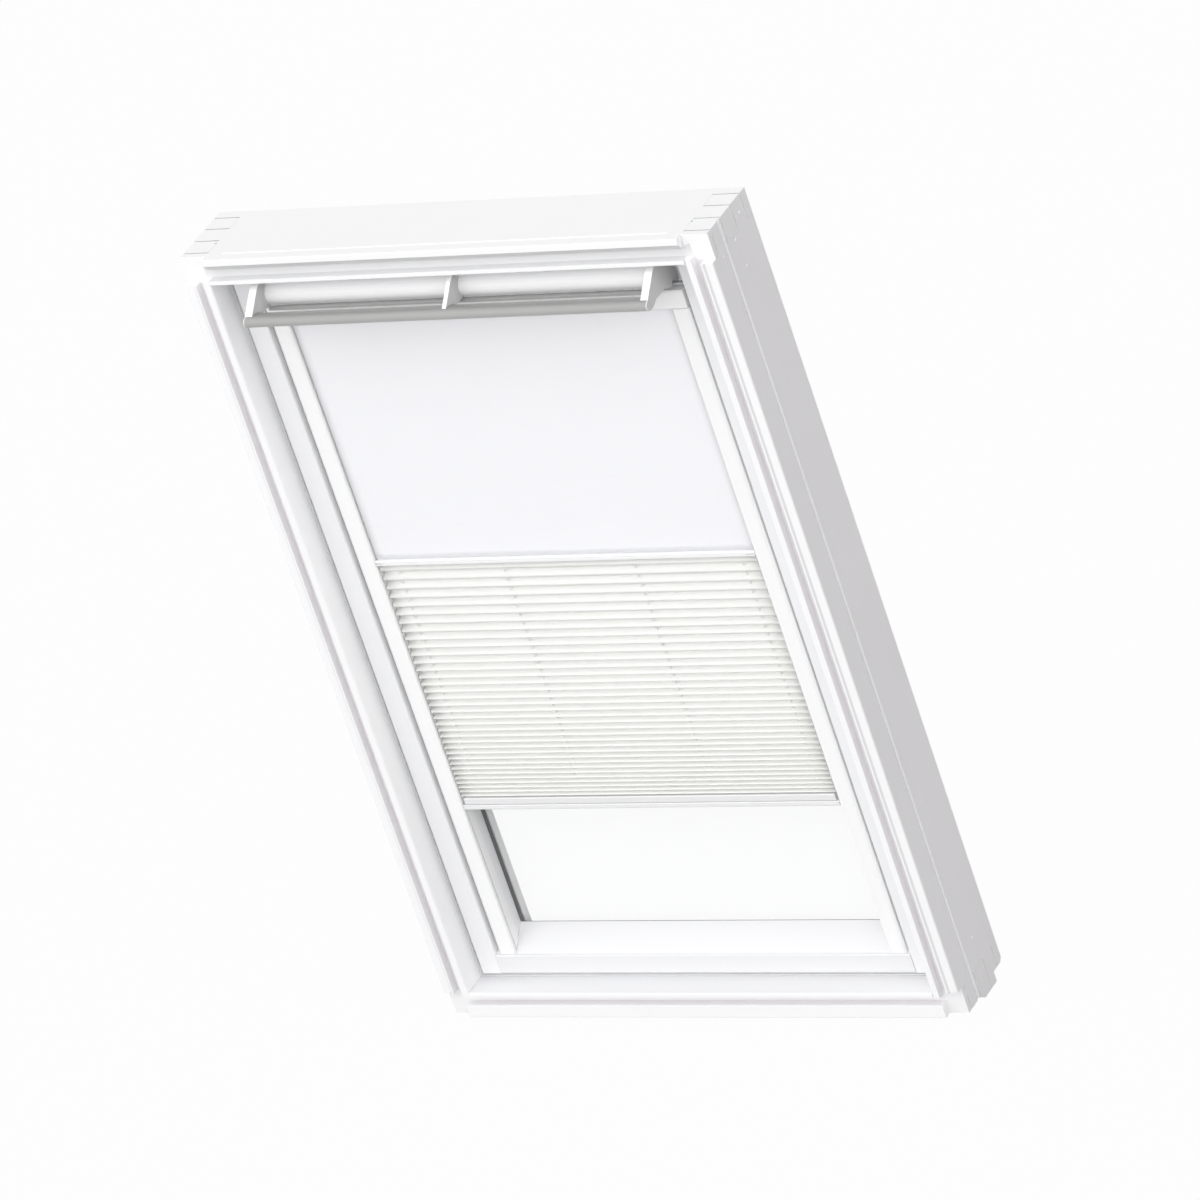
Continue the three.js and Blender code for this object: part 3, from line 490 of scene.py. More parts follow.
@dataclass(frozen=True)
class WovenCloth(Finish):
    """Fine plain-weave cloth, read on the sheet's own flat coordinates in metres.

    Attributes:
        pitch: Distance from thread to thread, in metres.
        shade: Colour between the threads.
        glow: Weight of the light that goes into the cloth and comes out beside.
    """

    SLUBS = 420.0
    LENGTHENED = (0.08, 1.0, 1.0)
    CLOUDS = 7.0
    RELIEF = 0.04 * MM
    SPREAD = 3.0 * MM

    pitch: float = 0.5 * MM
    shade: Colour = (0.7, 0.7, 0.7)
    glow: float = 0.0

    def dress(self, surface: Surface) -> None:
        """Add the weave, slubs in the thread and a slow change of tone."""
        flat = surface.node("ShaderNodeUVMap", {"uv_map": "UVMap"}).outputs[0]
        split = surface.node("ShaderNodeSeparateXYZ", None, {0: flat})
        warp, weft = (surface.math("SINE", surface.value(split, axis) * (math.pi / self.pitch)) for axis in (0, 1))
        threads = abs(warp * weft)
        slubs = surface.noise(self.SLUBS, 3.0, self.LENGTHENED)
        clouds = surface.noise(self.CLOUDS, 2.0)
        drift = (1 - threads) * 0.1 + slubs * 0.1 + clouds * 0.08
        ground = self.ground(surface, surface.value(split, 1))
        surface.set("Base Color", surface.mix(drift, ground, self.shade))
        surface.set("Roughness", self.roughness + slubs * 0.1)
        surface.bump(threads * 0.7 + slubs * 0.3, 0.4, self.RELIEF)
        surface.set("Sheen Weight", 0.1)
        surface.set("Sheen Roughness", 0.5)
        surface.set("Subsurface Weight", self.glow)
        surface.set("Subsurface Radius", Surface.EVEN)
        surface.set("Subsurface Scale", self.SPREAD)

    def ground(self, surface: Surface, down: Value) -> Value | Colour:
        """Give the colour of the cloth before its threads.

        Args:
            surface: The material's graph.
            down: Place down the flat sheet, in metres.

        Returns:
            The colour.
        """
        return self.colour


@dataclass(frozen=True)
class PleatedWeave(WovenCloth):
    """Cloth set in pleats, with light and shade painted along the folds: at the top the outer folds are painted darker
    than the inner ones, at the bottom lighter.

    Attributes:
        fold: Length of cloth from one fold to the next on the same side, in metres.
        length: Length of the flat cloth, in metres.
        outer: Colour painted along the outer folds at the top, darker than the inner folds, so that the shaded inner
            folds read lighter.
        lower: Colour painted along the outer folds at the bottom, a painted highlight lighter than the inner folds.
    """

    fold: float = 20.0 * MM
    length: float = 700.0 * MM
    outer: Colour = (0.7, 0.7, 0.68)
    lower: Colour = (0.85, 0.85, 0.82)

    def ground(self, surface: Surface, down: Value) -> Value:
        """Give the colour from the inner to the outer fold, with the painted light and shade along the folds."""
        # Painted light and shade: the tone changes from the inner fold to the outer fold along each pleat.
        passed = surface.math("FRACT", down / self.fold)
        reach = 1 - abs(passed * 2 - 1)
        return surface.mix(reach, self.colour, surface.mix(down / self.length, self.outer, self.lower))


@dataclass(frozen=True)
class OpenFoam(Finish):
    """Filter foam with open pores."""

    PORES = 700.0
    RELIEF = 0.4 * MM

    pore: Colour = (0.05, 0.05, 0.055)

    def dress(self, surface: Surface) -> None:
        """Add the pores."""
        sockets = {"Vector": surface.place(), "Scale": self.PORES}
        cells = surface.node("ShaderNodeTexVoronoi", {"feature": "DISTANCE_TO_EDGE"}, sockets)
        walls = surface.value(cells, "Distance") * 2.4
        surface.set("Base Color", surface.mix(walls, self.colour, self.pore))
        surface.bump(1 - walls, 0.6, self.RELIEF)


class Palette:
    """The finishes of this window, built once each."""

    def __init__(self) -> None:
        """Build every material."""
        white = tone(248, 248, 249)
        # Painted shade: the sash gets a slightly darker copy of the frame's white paint, standing in for the shade on
        # it.
        inner = tone(243, 243, 245)
        self.timber_up = PaintedTimber("painted_timber_upright", white, 0.4).material()
        self.timber_across = PaintedTimber("painted_timber_across", white, 0.4, Grain.ACROSS).material()
        # Painted shade: a darker copy of the white paint for the faces inside the lining grooves, and a darker one
        # still for the head's groove and the jambs' small step, where shade falls.
        self.shaded_groove = PaintedTimber("painted_groove_shade", tone(241, 239, 241), 0.5).material()
        self.deep_shade = PaintedTimber("painted_deep_shade", tone(222, 222, 223), 0.5, Grain.ACROSS).material()
        # Painted shade: a grey copy of the paint for the faces inside the narrow kerfs of the finger joints, standing
        # in for the shade in them.
        self.kerf_shade = PaintedTimber("painted_kerf_shade", tone(192, 192, 192), 0.6, Grain.ACROSS).material()
        # Painted shade: a grey copy of the pale plastic for the brackets' right-hand sides, which stand in shade.
        self.flank_shade = MouldedPlastic("pale_plastic_painted_shade", tone(198, 198, 198), 0.5).material()
        # Painted shade: a darker, slightly purple copy of the paint, with a deeper drift, for the frame's outer sides,
        # which face away from the light.
        self.shaded_outer_side = PaintedTimber("shaded_outer_side", tone(243, 241, 243), 0.5, shade=(0.66, 0.64, 0.66)).material()
        # Painted shade: a darker copy of the paint for the sash's bottom rail and the top of the sill, low in the
        # window where shade falls.
        self.shaded_ledge = PaintedTimber("painted_shade_ledge", tone(233, 233, 235), 0.42, Grain.ACROSS).material()
        self.shaded_sash_up = PaintedTimber("sash_timber_upright", inner, 0.4).material()
        self.shaded_sash_across = PaintedTimber("sash_timber_across", inner, 0.4, Grain.ACROSS).material()
        self.coat = PowderCoat("white_powder_coat", tone(249, 249, 249), 0.36).material()
        self.rail_coat = PowderCoat("rail_powder_coat", tone(240, 240, 241), 0.4).material()
        # Painted shade: a darker copy of the white coat for the blind's bottom rail, which lies in shade under the
        # pleats.
        self.shaded_low_rail_coat = PowderCoat("bottom_rail_shaded_coat", tone(230, 230, 231), 0.4).material()
        self.white_plastic = MouldedPlastic("white_plastic", tone(248, 248, 248), 0.4).material()
        self.pale_plastic = MouldedPlastic("pale_plastic", tone(240, 240, 239), 0.45).material()
        self.grey_plastic = MouldedPlastic("grey_plastic", tone(240, 240, 241), 0.5).material()
        self.spacer = MouldedPlastic("pane_spacer_plastic", tone(252, 252, 252), 0.5, (0.8, 0.8, 0.8)).material()
        self.aluminium = BrushedMetal("satin_aluminium", tone(178, 178, 177), 0.42, 0.6).material()
        self.steel = BrushedMetal("zinc_steel", tone(176, 178, 180), 0.38, 1.0, (0.2, 0.2, 0.2)).material()
        self.seal = ExtrudedRubber("grey_seal", tone(222, 222, 223), 0.75, (0.58, 0.58, 0.58)).material()
        self.rubber = ExtrudedRubber("black_glazing_rubber", tone(104, 104, 106), 0.7).material()
        self.cover = PowderCoat("grey_outer_coat", tone(112, 116, 119), 0.5, (0.1, 0.1, 0.1)).material()
        self.glass = ClearGlass("clear_glass", tone(246, 250, 249), 0.03).material()
        self.blackout = WovenCloth("blackout_weave", tone(245, 245, 248), 0.75, 0.6 * MM, (0.72, 0.73, 0.75)).material()
        # Painted light and shade: the pleated cloth's outer folds are painted darker at the top and lighter at the
        # bottom than its inner folds.
        self.pleats = PleatedWeave("pleated_weave", tone(246, 246, 243), 0.85, 0.5 * MM, (0.72, 0.73, 0.7), glow=0.25,
                                   outer=tone(241, 241, 238), lower=tone(250, 250, 247)).material()
        self.cord = WovenCloth("blind_cord", tone(238, 238, 235), 0.8, 0.4 * MM, (0.55, 0.55, 0.55)).material()
        self.foam = OpenFoam("filter_foam", tone(150, 152, 154), 0.95).material()

    def by_slot(self) -> dict[str, bpy.types.Material]:
        """Pair the record's material slots with the materials.

        Returns:
            Material by slot name.
        """
        return {
            "painted_wood": self.timber_up,
            "white_aluminium": self.coat,
            "white_plastic": self.white_plastic,
            "pale_plastic": self.pale_plastic,
            "grey_plastic": self.grey_plastic,
            "satin_aluminium": self.aluminium,
            "steel": self.steel,
            "grey_rubber": self.seal,
            "black_rubber": self.rubber,
            "outer_cover": self.cover,
            "clear_glass": self.glass,
            "blackout_fabric": self.blackout,
            "pleated_fabric": self.pleats,
            "filter_foam": self.foam,
        }


def mesh_object(name: str, mesh: bpy.types.Mesh, material: bpy.types.Material) -> bpy.types.Object:
    """Put a mesh in the scene with one material.

    Args:
        name: The object's name.
        mesh: Its mesh.
        material: Its material.

    Returns:
        The new object.
    """
    piece = bpy.data.objects.new(name, mesh)
    bpy.context.scene.collection.objects.link(piece)
    mesh.materials.clear()
    mesh.materials.append(material)
    return piece


def settled(piece: bpy.types.Object) -> bpy.types.Object:
    """Turn a piece's modifiers into plain mesh.

    Args:
        piece: The piece.

    Returns:
        The same piece, without modifiers.
    """
    bpy.context.view_layer.update()
    shown = piece.evaluated_get(bpy.context.evaluated_depsgraph_get())
    mesh = bpy.data.meshes.new_from_object(shown)
    piece.modifiers.clear()
    piece.data = mesh
    return piece


def mesh_from(made: bmesh.types.BMesh, name: str, material: bpy.types.Material) -> bpy.types.Object:
    """Turn a mesh under construction into an object, and free it.

    Args:
        made: The mesh under construction.
        name: The object's name.
        material: Its material.

    Returns:
        The new object.
    """
    mesh = bpy.data.meshes.new(name)
    made.to_mesh(mesh)
    made.free()
    return mesh_object(name, mesh, material)


def thickened(sheet: bpy.types.Object, thickness: float) -> bpy.types.Object:
    """Give a sheet its thickness, half of it to each side.

    Args:
        sheet: The sheet.
        thickness: Its thickness.

    Returns:
        The same sheet as plain mesh.
    """
    wall = sheet.modifiers.new("thickness", "SOLIDIFY")
    wall.thickness = thickness
    wall.offset = 0.0
    return settled(sheet)


def report(piece: bpy.types.Object) -> None:
    """Log a finished piece with its face count."""
    LOG.info("%s: %d faces", piece.name, len(piece.data.polygons))


class Rule:
    """A geometry tree with named inputs that makes one repeated or rule-shaped piece."""

    def __init__(self, name: str, sizes: dict[str, float | int]) -> None:
        """Start the tree and its interface.

        Args:
            name: The tree's name.
            sizes: Name and value of each input.
        """
        self.tree = bpy.data.node_groups.new(name, "GeometryNodeTree")
        self.graph = Graph(self.tree)
        self.sizes = sizes
        self.tree.interface.new_socket("Geometry", in_out="OUTPUT", socket_type="NodeSocketGeometry")
        for size, value in sizes.items():
            kind = "NodeSocketInt" if isinstance(value, int) else "NodeSocketFloat"
            self.tree.interface.new_socket(size, in_out="INPUT", socket_type=kind)
        self.entry = self.graph.node("NodeGroupInput")

    def size(self, name: str) -> Value:
        """Give a named input of the tree."""
        return self.graph.value(self.entry, name)

    def finish(self, name: str, geometry: bpy.types.NodeSocket, material: bpy.types.Material) -> bpy.types.Object:
        """End the tree and turn its result into a plain mesh.

        Args:
            name: The piece's name.
            geometry: The socket that holds the result.
            material: The piece's material.

        Returns:
            The piece, without modifiers.
        """
        real = self.graph.node("GeometryNodeRealizeInstances", None, {0: geometry})
        coloured = self.graph.node("GeometryNodeSetMaterial", None, {0: real.outputs[0], "Material": material})
        self.graph.node("NodeGroupOutput", None, {0: coloured.outputs[0]})
        piece = mesh_object(name, bpy.data.meshes.new(name), material)
        modifier = piece.modifiers.new("rule", "NODES")
        modifier.node_group = self.tree
        for item in self.tree.interface.items_tree:
            if item.in_out == "INPUT":
                modifier[item.identifier] = self.sizes[item.name]
        return settled(piece)


@dataclass(frozen=True)
class PleatFold:
    """The fold of the pleated cloth.

    Attributes:
        width: Width of the cloth.
        top: Height of its upper edge.
        length: Height that the folded cloth covers.
        centre: Depth of the middle of the folds.
        leaf: Width of one leaf between two folds.
        pleats: Number of pleats.
        stretch: Share by which the top pleats are wider than the mean.
        softness: Share of the fold that is rounded.
        columns: Points across the cloth.
        steps: Points down one pleat.
    """

    PHASE = 0.0001
    CORD_INSET = 2.4
    CORD_SHOWN = 0.32
    CORD_SIDES = 8

    width: float
    top: float
    length: float
    centre: float
    leaf: float = 10.0 * MM
    pleats: int = 35
    stretch: float = 0.4
    softness: float = 0.95
    columns: int = 24
    steps: int = 12

    def height(self, rule: Rule, share: Value) -> Value:
        """Give the height at a share of the way down.

        Args:
            rule: The tree.
            share: Share of the pleats passed, from 0 to 1.

        Returns:
            The height.
        """
        eased = share + rule.size("Stretch") * (share - share * share)
        return rule.size("Top") - rule.size("Length") * eased

    def reach(self, rule: Rule, share: Value) -> Value:
        """Give half the depth of a fold at a share of the way down.

        Args:
            rule: The tree.
            share: Share of the pleats passed, from 0 to 1.

        Returns:
            Half the depth.
        """
        mean = rule.size("Length") / rule.size("Pleats")
        pitch = mean * (1 + rule.size("Stretch") * (1 - 2 * share))
        return rule.graph.math("SQRT", rule.size("Leaf") ** 2 - (pitch / 2) ** 2) / 2

    def sizes(self) -> dict[str, float | int]:
        """Give the inputs that both trees of the pleats share."""
        names = ("width", "top", "length", "centre", "leaf", "pleats", "stretch")
        return {name.capitalize(): getattr(self, name) for name in names}

    def cloth(self, material: bpy.types.Material) -> bpy.types.Object:
        """Make the folded cloth.

        Args:
            material: Its material.

        Returns:
            The cloth, one sheet thick.
        """
        rule = Rule("pleated_cloth_fold", {**self.sizes(), "Softness": self.softness})
        graph = rule.graph
        rows = self.pleats * self.steps + 1
        grid = graph.node("GeometryNodeMeshGrid", None, {
            "Size X": rule.size("Width"), "Size Y": 1.0, "Vertices X": self.columns, "Vertices Y": rows,
        })
        start = graph.node("ShaderNodeSeparateXYZ", None, {0: graph.node("GeometryNodeInputPosition").outputs[0]})
        share = 0.5 - graph.value(start, 1)
        count = share * rule.size("Pleats")
        sharp = 4 * abs(graph.math("FRACT", count + self.PHASE) - 0.5) - 1
        rounded = graph.math("COSINE", count * math.tau)
        wave = sharp * (1 - rule.size("Softness")) + rounded * rule.size("Softness")
        depth = rule.size("Centre") + self.reach(rule, share) * wave
        point = graph.node("ShaderNodeCombineXYZ", None, {
            0: graph.value(start, 0), 1: depth, 2: self.height(rule, share),
        })
        flat = graph.node("ShaderNodeCombineXYZ", None, {
            0: graph.value(start, 0), 1: count * rule.size("Leaf") * 2, 2: 0.0,
        })
        mapped = graph.node("GeometryNodeStoreNamedAttribute", {"data_type": "FLOAT2", "domain": "CORNER"}, {
            "Geometry": grid.outputs["Mesh"], "Name": "UVMap", "Value": flat.outputs[0],
        })
        placed = graph.node("GeometryNodeSetPosition", None, {
            "Geometry": mapped.outputs[0], "Position": point.outputs[0],
        })
        smooth = graph.node("GeometryNodeSetShadeSmooth", None, {0: placed.outputs[0], "Shade Smooth": True})
        return rule.finish("pleated_sheet", smooth.outputs[0], material)

    def cords(self, material: bpy.types.Material, outer: float, inner: float, radius: float) -> bpy.types.Object:
        """Make the bits of lifting cord that show in the hollow of each pleat.

        Args:
            material: Their material.
            outer: Distance of the outer cords from the middle.
            inner: Distance of the inner cords from the middle.
            radius: Radius of a cord.

        Returns:
            The bits of cord as one mesh.
        """
        rule = Rule("pleat_cords", {**self.sizes(), "Outer": outer, "Inner": inner, "Radius": radius})
        graph = rule.graph
        grid = graph.node("GeometryNodeMeshGrid", None, {
            "Size X": 3.0, "Size Y": 1.0, "Vertices X": 4, "Vertices Y": self.pleats - 1,
        })
        start = graph.node("ShaderNodeSeparateXYZ", None, {0: graph.node("GeometryNodeInputPosition").outputs[0]})
        column = graph.value(start, 0)
        spread = (rule.size("Outer") - rule.size("Inner")) * (abs(column) - 0.5) + rule.size("Inner")
        across = spread * graph.math("SIGN", column)
        passed = (0.5 - graph.value(start, 1)) * (rule.size("Pleats") - 2) + 1
        share = passed / rule.size("Pleats")
        depth = rule.size("Centre") + self.reach(rule, share) - rule.size("Radius") * self.CORD_INSET
        point = graph.node("ShaderNodeCombineXYZ", None, {0: across, 1: depth, 2: self.height(rule, share)})
        placed = graph.node("GeometryNodeSetPosition", None, {
            "Geometry": grid.outputs["Mesh"], "Position": point.outputs[0],
        })
        bit = graph.node("GeometryNodeMeshCylinder", None, {
            "Vertices": self.CORD_SIDES, "Radius": rule.size("Radius"), "Depth": rule.size("Leaf") * self.CORD_SHOWN,
        })
        copies = graph.node("GeometryNodeInstanceOnPoints", None, {
            "Points": placed.outputs[0], "Instance": bit.outputs["Mesh"],
        })
        return rule.finish("pleat_cords", copies.outputs[0], material)


@dataclass(frozen=True)
class ScrewRow:
    """A straight row of dome-headed screws.

    Attributes:
        name: The piece's name.
        start: First screw.
        end: Last screw.
        turn: Turn that lays the screw's axis along the face's normal.
        count: Number of screws.
        radius: Radius of a head.
    """

    HEAD = (1.0, 1.0, 0.36)

    name: str
    start: tuple[float, float, float]
    end: tuple[float, float, float]
    turn: tuple[float, float, float]
    count: int
    radius: float = 3.2 * MM

    def build(self, material: bpy.types.Material) -> bpy.types.Object:
        """Make the row.

        Args:
            material: The screws' material.

        Returns:
            The row as one mesh.
        """
        rule = Rule(self.name, {"Radius": self.radius, "Count": self.count})
        graph = rule.graph
        line = graph.node("GeometryNodeMeshLine", {"mode": "END_POINTS"}, {
            "Count": rule.size("Count"), "Start Location": self.start, "Offset": self.end,
        })
        dome = graph.node("GeometryNodeMeshUVSphere", None, {
            "Segments": 16, "Rings": 8, "Radius": rule.size("Radius"),
        })
        low = graph.node("GeometryNodeTransform", None, {"Geometry": dome.outputs["Mesh"], "Scale": self.HEAD})
        copies = graph.node("GeometryNodeInstanceOnPoints", None, {
            "Points": line.outputs[0], "Instance": low.outputs[0], "Rotation": self.turn,
        })
        smooth = graph.node("GeometryNodeSetShadeSmooth", None, {0: copies.outputs[0], "Shade Smooth": True})
        return rule.finish(self.name, smooth.outputs[0], material)


class CadFinisher:
    """What both kinds of work on the CAD nodes need."""

    def __init__(self, frame: dict, palette: Palette) -> None:
        """Keep the nodes, their material slots and the finishes.

        Args:
            palette: The finishes.
        """
        self.nodes = frame["nodes"]
        self.slots = {part["node"]: part["material_slot"] for part in frame["record"]["subparts"]}
        self.palette = palette


class CadDresser(CadFinisher):
    """Gives every CAD node that stays in view its finish."""

    def _by_name(self) -> dict[str, bpy.types.Material]:
        """Pair the nodes that differ from their slot with their materials.

        Returns:
            Material by node name.
        """
        palette = self.palette
        return {
            "frame_head": palette.timber_across,
            "frame_sill": palette.timber_across,
            # Painted shade: the sash's timber, its bottom rail and the blind's bottom rail get darker copies of their
            # white.
            "sash_top_rail": palette.shaded_sash_across,
            "sash_bottom_rail": palette.shaded_ledge,
            "sash_stile_left": palette.shaded_sash_up,
            "sash_stile_right": palette.shaded_sash_up,
            "pane_spacer": palette.spacer,
            "middle_rail": palette.rail_coat,
            "vent_flap": palette.rail_coat,
            "bottom_rail": palette.shaded_low_rail_coat,
        }

    def dress(self) -> None:
        """Assign the finishes."""
        finishes = self.palette.by_slot()
        named = self._by_name()
        for name, node in self.nodes.items():
            material = named.get(name, finishes[self.slots[name]])
            node.data.materials.clear()
            node.data.materials.append(material)
            LOG.info("%s: %s", name, material.name)


@dataclass(frozen=True)
class FacePatch:
    """Faces of one piece that have a finish of their own: a darker copy of its paint or plastic, which paints shade
    where shade falls.

    Attributes:
        low: Lower corner of the room that the faces' middles lie in, in millimetres from the room face and the sill.
        high: Upper corner of it. Both corners are for the right-hand half, and the left half mirrors it.
        finish: The faces' finish.
        facing: Direction that the faces look in, or None for any.
    """

    FACE = -78.5
    FLOOR = 9.0
    ALONG = 0.7

    low: tuple[float, float, float]
    high: tuple[float, float, float]
    finish: bpy.types.Material
    facing: Vector | None = None

    def paint(self, mesh: bpy.types.Mesh) -> int:
        """Give the faces their finish.

        Args:
            mesh: The piece's mesh.

        Returns:
            The number of faces painted.
        """
        mesh.materials.append(self.finish)
        slot = len(mesh.materials) - 1
        chosen = [face for face in mesh.polygons if self._holds(face)]
        for face in chosen:
            face.material_index = slot
        return len(chosen)

    def _holds(self, face: bpy.types.MeshPolygon) -> bool:
        """Say whether a face belongs to the patch."""
        middle = face.center / MM
        place = (abs(middle.x), middle.y - self.FACE, middle.z - self.FLOOR)
        inside = all(low < value < high for low, value, high in zip(self.low, place, self.high))
        return inside and (self.facing is None or face.normal.dot(self.facing) > self.ALONG)

    def split(self, mesh: bpy.types.Mesh) -> None:
        """Cut the faces along the ends of the patch, so that none runs past it.

        Args:
            mesh: The piece's mesh.
        """
        cut = bmesh.new()
        cut.from_mesh(mesh)
        for end in (self.high[0] * MM, -self.high[0] * MM):
            everything = cut.verts[:] + cut.edges[:] + cut.faces[:]
            bmesh.ops.bisect_plane(cut, geom=everything, plane_co=(end, 0.0, 0.0), plane_no=(1.0, 0.0, 0.0))
        cut.to_mesh(mesh)
        cut.free()


class Patchwork(CadFinisher):
    """Pieces whose faces don't all have one finish: painted shade in the grooves and kerfs, on the jamb step and the
    sill's top, and on the outer sides and the brackets' right-hand sides.
    """

    # Boxes of faces that get painted shade: grooves, kerfs, the jamb step, the sill's top, the outer sides and the
    # brackets' right-hand sides.
    JAMB_GROOVE = (361.2, 0.2, -9.0), (374.0, 12.3, 1178.0)
    JAMB_STEP = (375.8, 0.0, -9.0), (378.4, 2.4, 1178.0)
    OUTER_SIDE = (388.0, -1.0, -40.0), (391.0, 130.0, 1180.0)
    FINGER_KERFS = (340.0, 14.0, 1174.9), (389.5, 130.0, 1177.8)
    HEAD_GROOVE = (-1.0, 0.2, 1147.0), (360.5, 12.3, 1168.0)
    SILL_GROOVE = (-1.0, 0.2, 6.0), (361.0, 12.3, 33.0)
    SILL_TOP = (-1.0, 0.3, 38.2), (370.0, 60.0, 38.8)
    BRACKETS = (-1.0, -60.0, 1000.0), (400.0, 60.0, 1178.0)

    def build(self) -> None:
        """Make every patched piece in place of its CAD node."""
        palette = self.palette
        left, right = Vector((-1.0, 0.0, 0.0)), Vector((1.0, 0.0, 0.0))
        shaded_groove = FacePatch(*self.JAMB_GROOVE, palette.shaded_groove)
        step = FacePatch(*self.JAMB_STEP, palette.deep_shade)
        shaded_sides = tuple(FacePatch(*self.OUTER_SIDE, palette.shaded_outer_side, facing) for facing in (left, right))
        kerf_shade = FacePatch(*self.FINGER_KERFS, palette.kerf_shade)
        for side in ("left", "right"):
            self._patch(f"frame_jamb_{side}", "frame", palette.timber_up, (shaded_groove, step, kerf_shade, *shaded_sides))
        head = FacePatch(*self.HEAD_GROOVE, palette.deep_shade)
        self._patch("frame_head", "frame", palette.timber_across, (head, kerf_shade, *shaded_sides))
        low = FacePatch(*self.SILL_GROOVE, palette.shaded_groove)
        shaded_ledge = FacePatch(*self.SILL_TOP, palette.shaded_ledge)
        self._patch("frame_sill", "frame", palette.timber_across, (low, shaded_ledge, *shaded_sides))
        shaded_cheek = FacePatch(*self.BRACKETS, palette.flank_shade, right)
        for name in ("bracket_left", "bracket_centre", "bracket_right"):
            self._patch(name, "vent_unit", palette.pale_plastic, (shaded_cheek,))

    def _patch(self, name: str, body: str, base: bpy.types.Material, patches: tuple[FacePatch, ...]) -> None:
        """Make one piece from a copy of its CAD node.

        Args:
            name: The CAD node.
            body: The body that it rides on.
            base: Finish of the other faces.
            patches: The faces with a finish of their own, each a darker copy that paints shade.
        """
        mesh = self.nodes[name].data.copy()
        piece = mesh_object(f"{name}_finished", mesh, base)
        for patch in patches:
            patch.split(mesh)
        painted = sum(patch.paint(mesh) for patch in patches)
        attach(piece, body)
        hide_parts(name)
        LOG.info("%s: %d faces patched", name, painted)


@dataclass(frozen=True)
class BlackoutSheet:
    """The smooth blackout cloth between the roller and the middle rail.

    Attributes:
        thickness: Thickness of the cloth.
        bow: How far its middle stands off a flat plane, over all.
        columns: Points across.
        rows: Points down.
    """

    HANG_SHARE = 0.6
    RIPPLE_SHARE = 0.18
    RIPPLES = (9.0, 2.0)

    thickness: float = 0.28 * MM
    bow: float = 0.5 * MM
    columns: int = 40
    rows: int = 40

    def build(self, material: bpy.types.Material) -> bpy.types.Object:
        """Make the cloth where its CAD sheet hangs.

        Args:
            material: Its material.

        Returns:
            The cloth.
        """
        low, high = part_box("blackout_cloth")
        middle = (low.y + high.y) / 2
        made = bmesh.new()
        flat = made.loops.layers.uv.new("UVMap")
        grid = []
        for row in range(self.rows + 1):
            down = row / self.rows
            line = []
            for column in range(self.columns + 1):
                across = column / self.columns
                x = low.x + (high.x - low.x) * across
                z = high.z + (low.z - high.z) * down
                hang = math.sin(math.pi * across) * math.sin(math.pi * down)
                ripple = math.sin(across * self.RIPPLES[0] + down * self.RIPPLES[1]) * math.sin(math.pi * down)
                y = middle + self.bow * (self.HANG_SHARE * hang + self.RIPPLE_SHARE * ripple)
                line.append(made.verts.new((x, y, z)))
            grid.append(line)
        for row in range(self.rows):
            for column in range(self.columns):
                corners = (
                    grid[row][column], grid[row + 1][column], grid[row + 1][column + 1], grid[row][column + 1],
                )
                face = made.faces.new(corners)
                face.smooth = True
                for loop in face.loops:
                    loop[flat].uv = (loop.vert.co.x, loop.vert.co.z)
        return thickened(mesh_from(made, "blackout_sheet", material), self.thickness)


@dataclass(frozen=True)
class WoundCloth:
    """The turns of blackout cloth on the roller.

    Attributes:
        turns: Number of turns.
        steps: Points in one turn.
        thickness: Thickness of the cloth.
    """

    turns: int = 6
    steps: int = 48
    thickness: float = 0.26 * MM

    def build(self, material: bpy.types.Material) -> bpy.types.Object:
        """Make the spiral where the CAD coil is.

        Args:
            material: Its material.

        Returns:
            The wound cloth.
        """
        low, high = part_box("cloth_coil")
        bore_low, bore_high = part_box("roller_tube")
        centre = (low + high) / 2
        outer = (high.z - low.z) / 2 - self.thickness
        inner = (bore_high.z - bore_low.z) / 2 + self.thickness * 2
        total = self.turns * self.steps
        made = bmesh.new()
        flat = made.loops.layers.uv.new("UVMap")
        lines = []
        length = 0.0
        for step in range(total + 1):
            share = step / total
            radius = inner + (outer - inner) * share
            turn = math.tau * self.turns * share + math.pi
            length += radius * math.tau * self.turns / total
            y = centre.y + radius * math.cos(turn)
            z = centre.z + radius * math.sin(turn)
            lines.append(([made.verts.new((x, y, z)) for x in (low.x, 0.0, high.x)], length))
        for (first, begun), (second, ended) in zip(lines, lines[1:]):
            for column in (0, 1):
                face = made.faces.new((first[column], second[column], second[column + 1], first[column + 1]))
                face.smooth = True
                for loop in face.loops:
                    down = begun if loop.vert in first else ended
                    loop[flat].uv = (loop.vert.co.x, down)
        return thickened(mesh_from(made, "wound_cloth", material), self.thickness)


class Maker:
    """A maker of pieces that the CAD doesn't have in this form."""

    def __init__(self, palette: Palette) -> None:
        """Keep the finishes.

        Args:
            palette: The finishes.
        """
        self.palette = palette


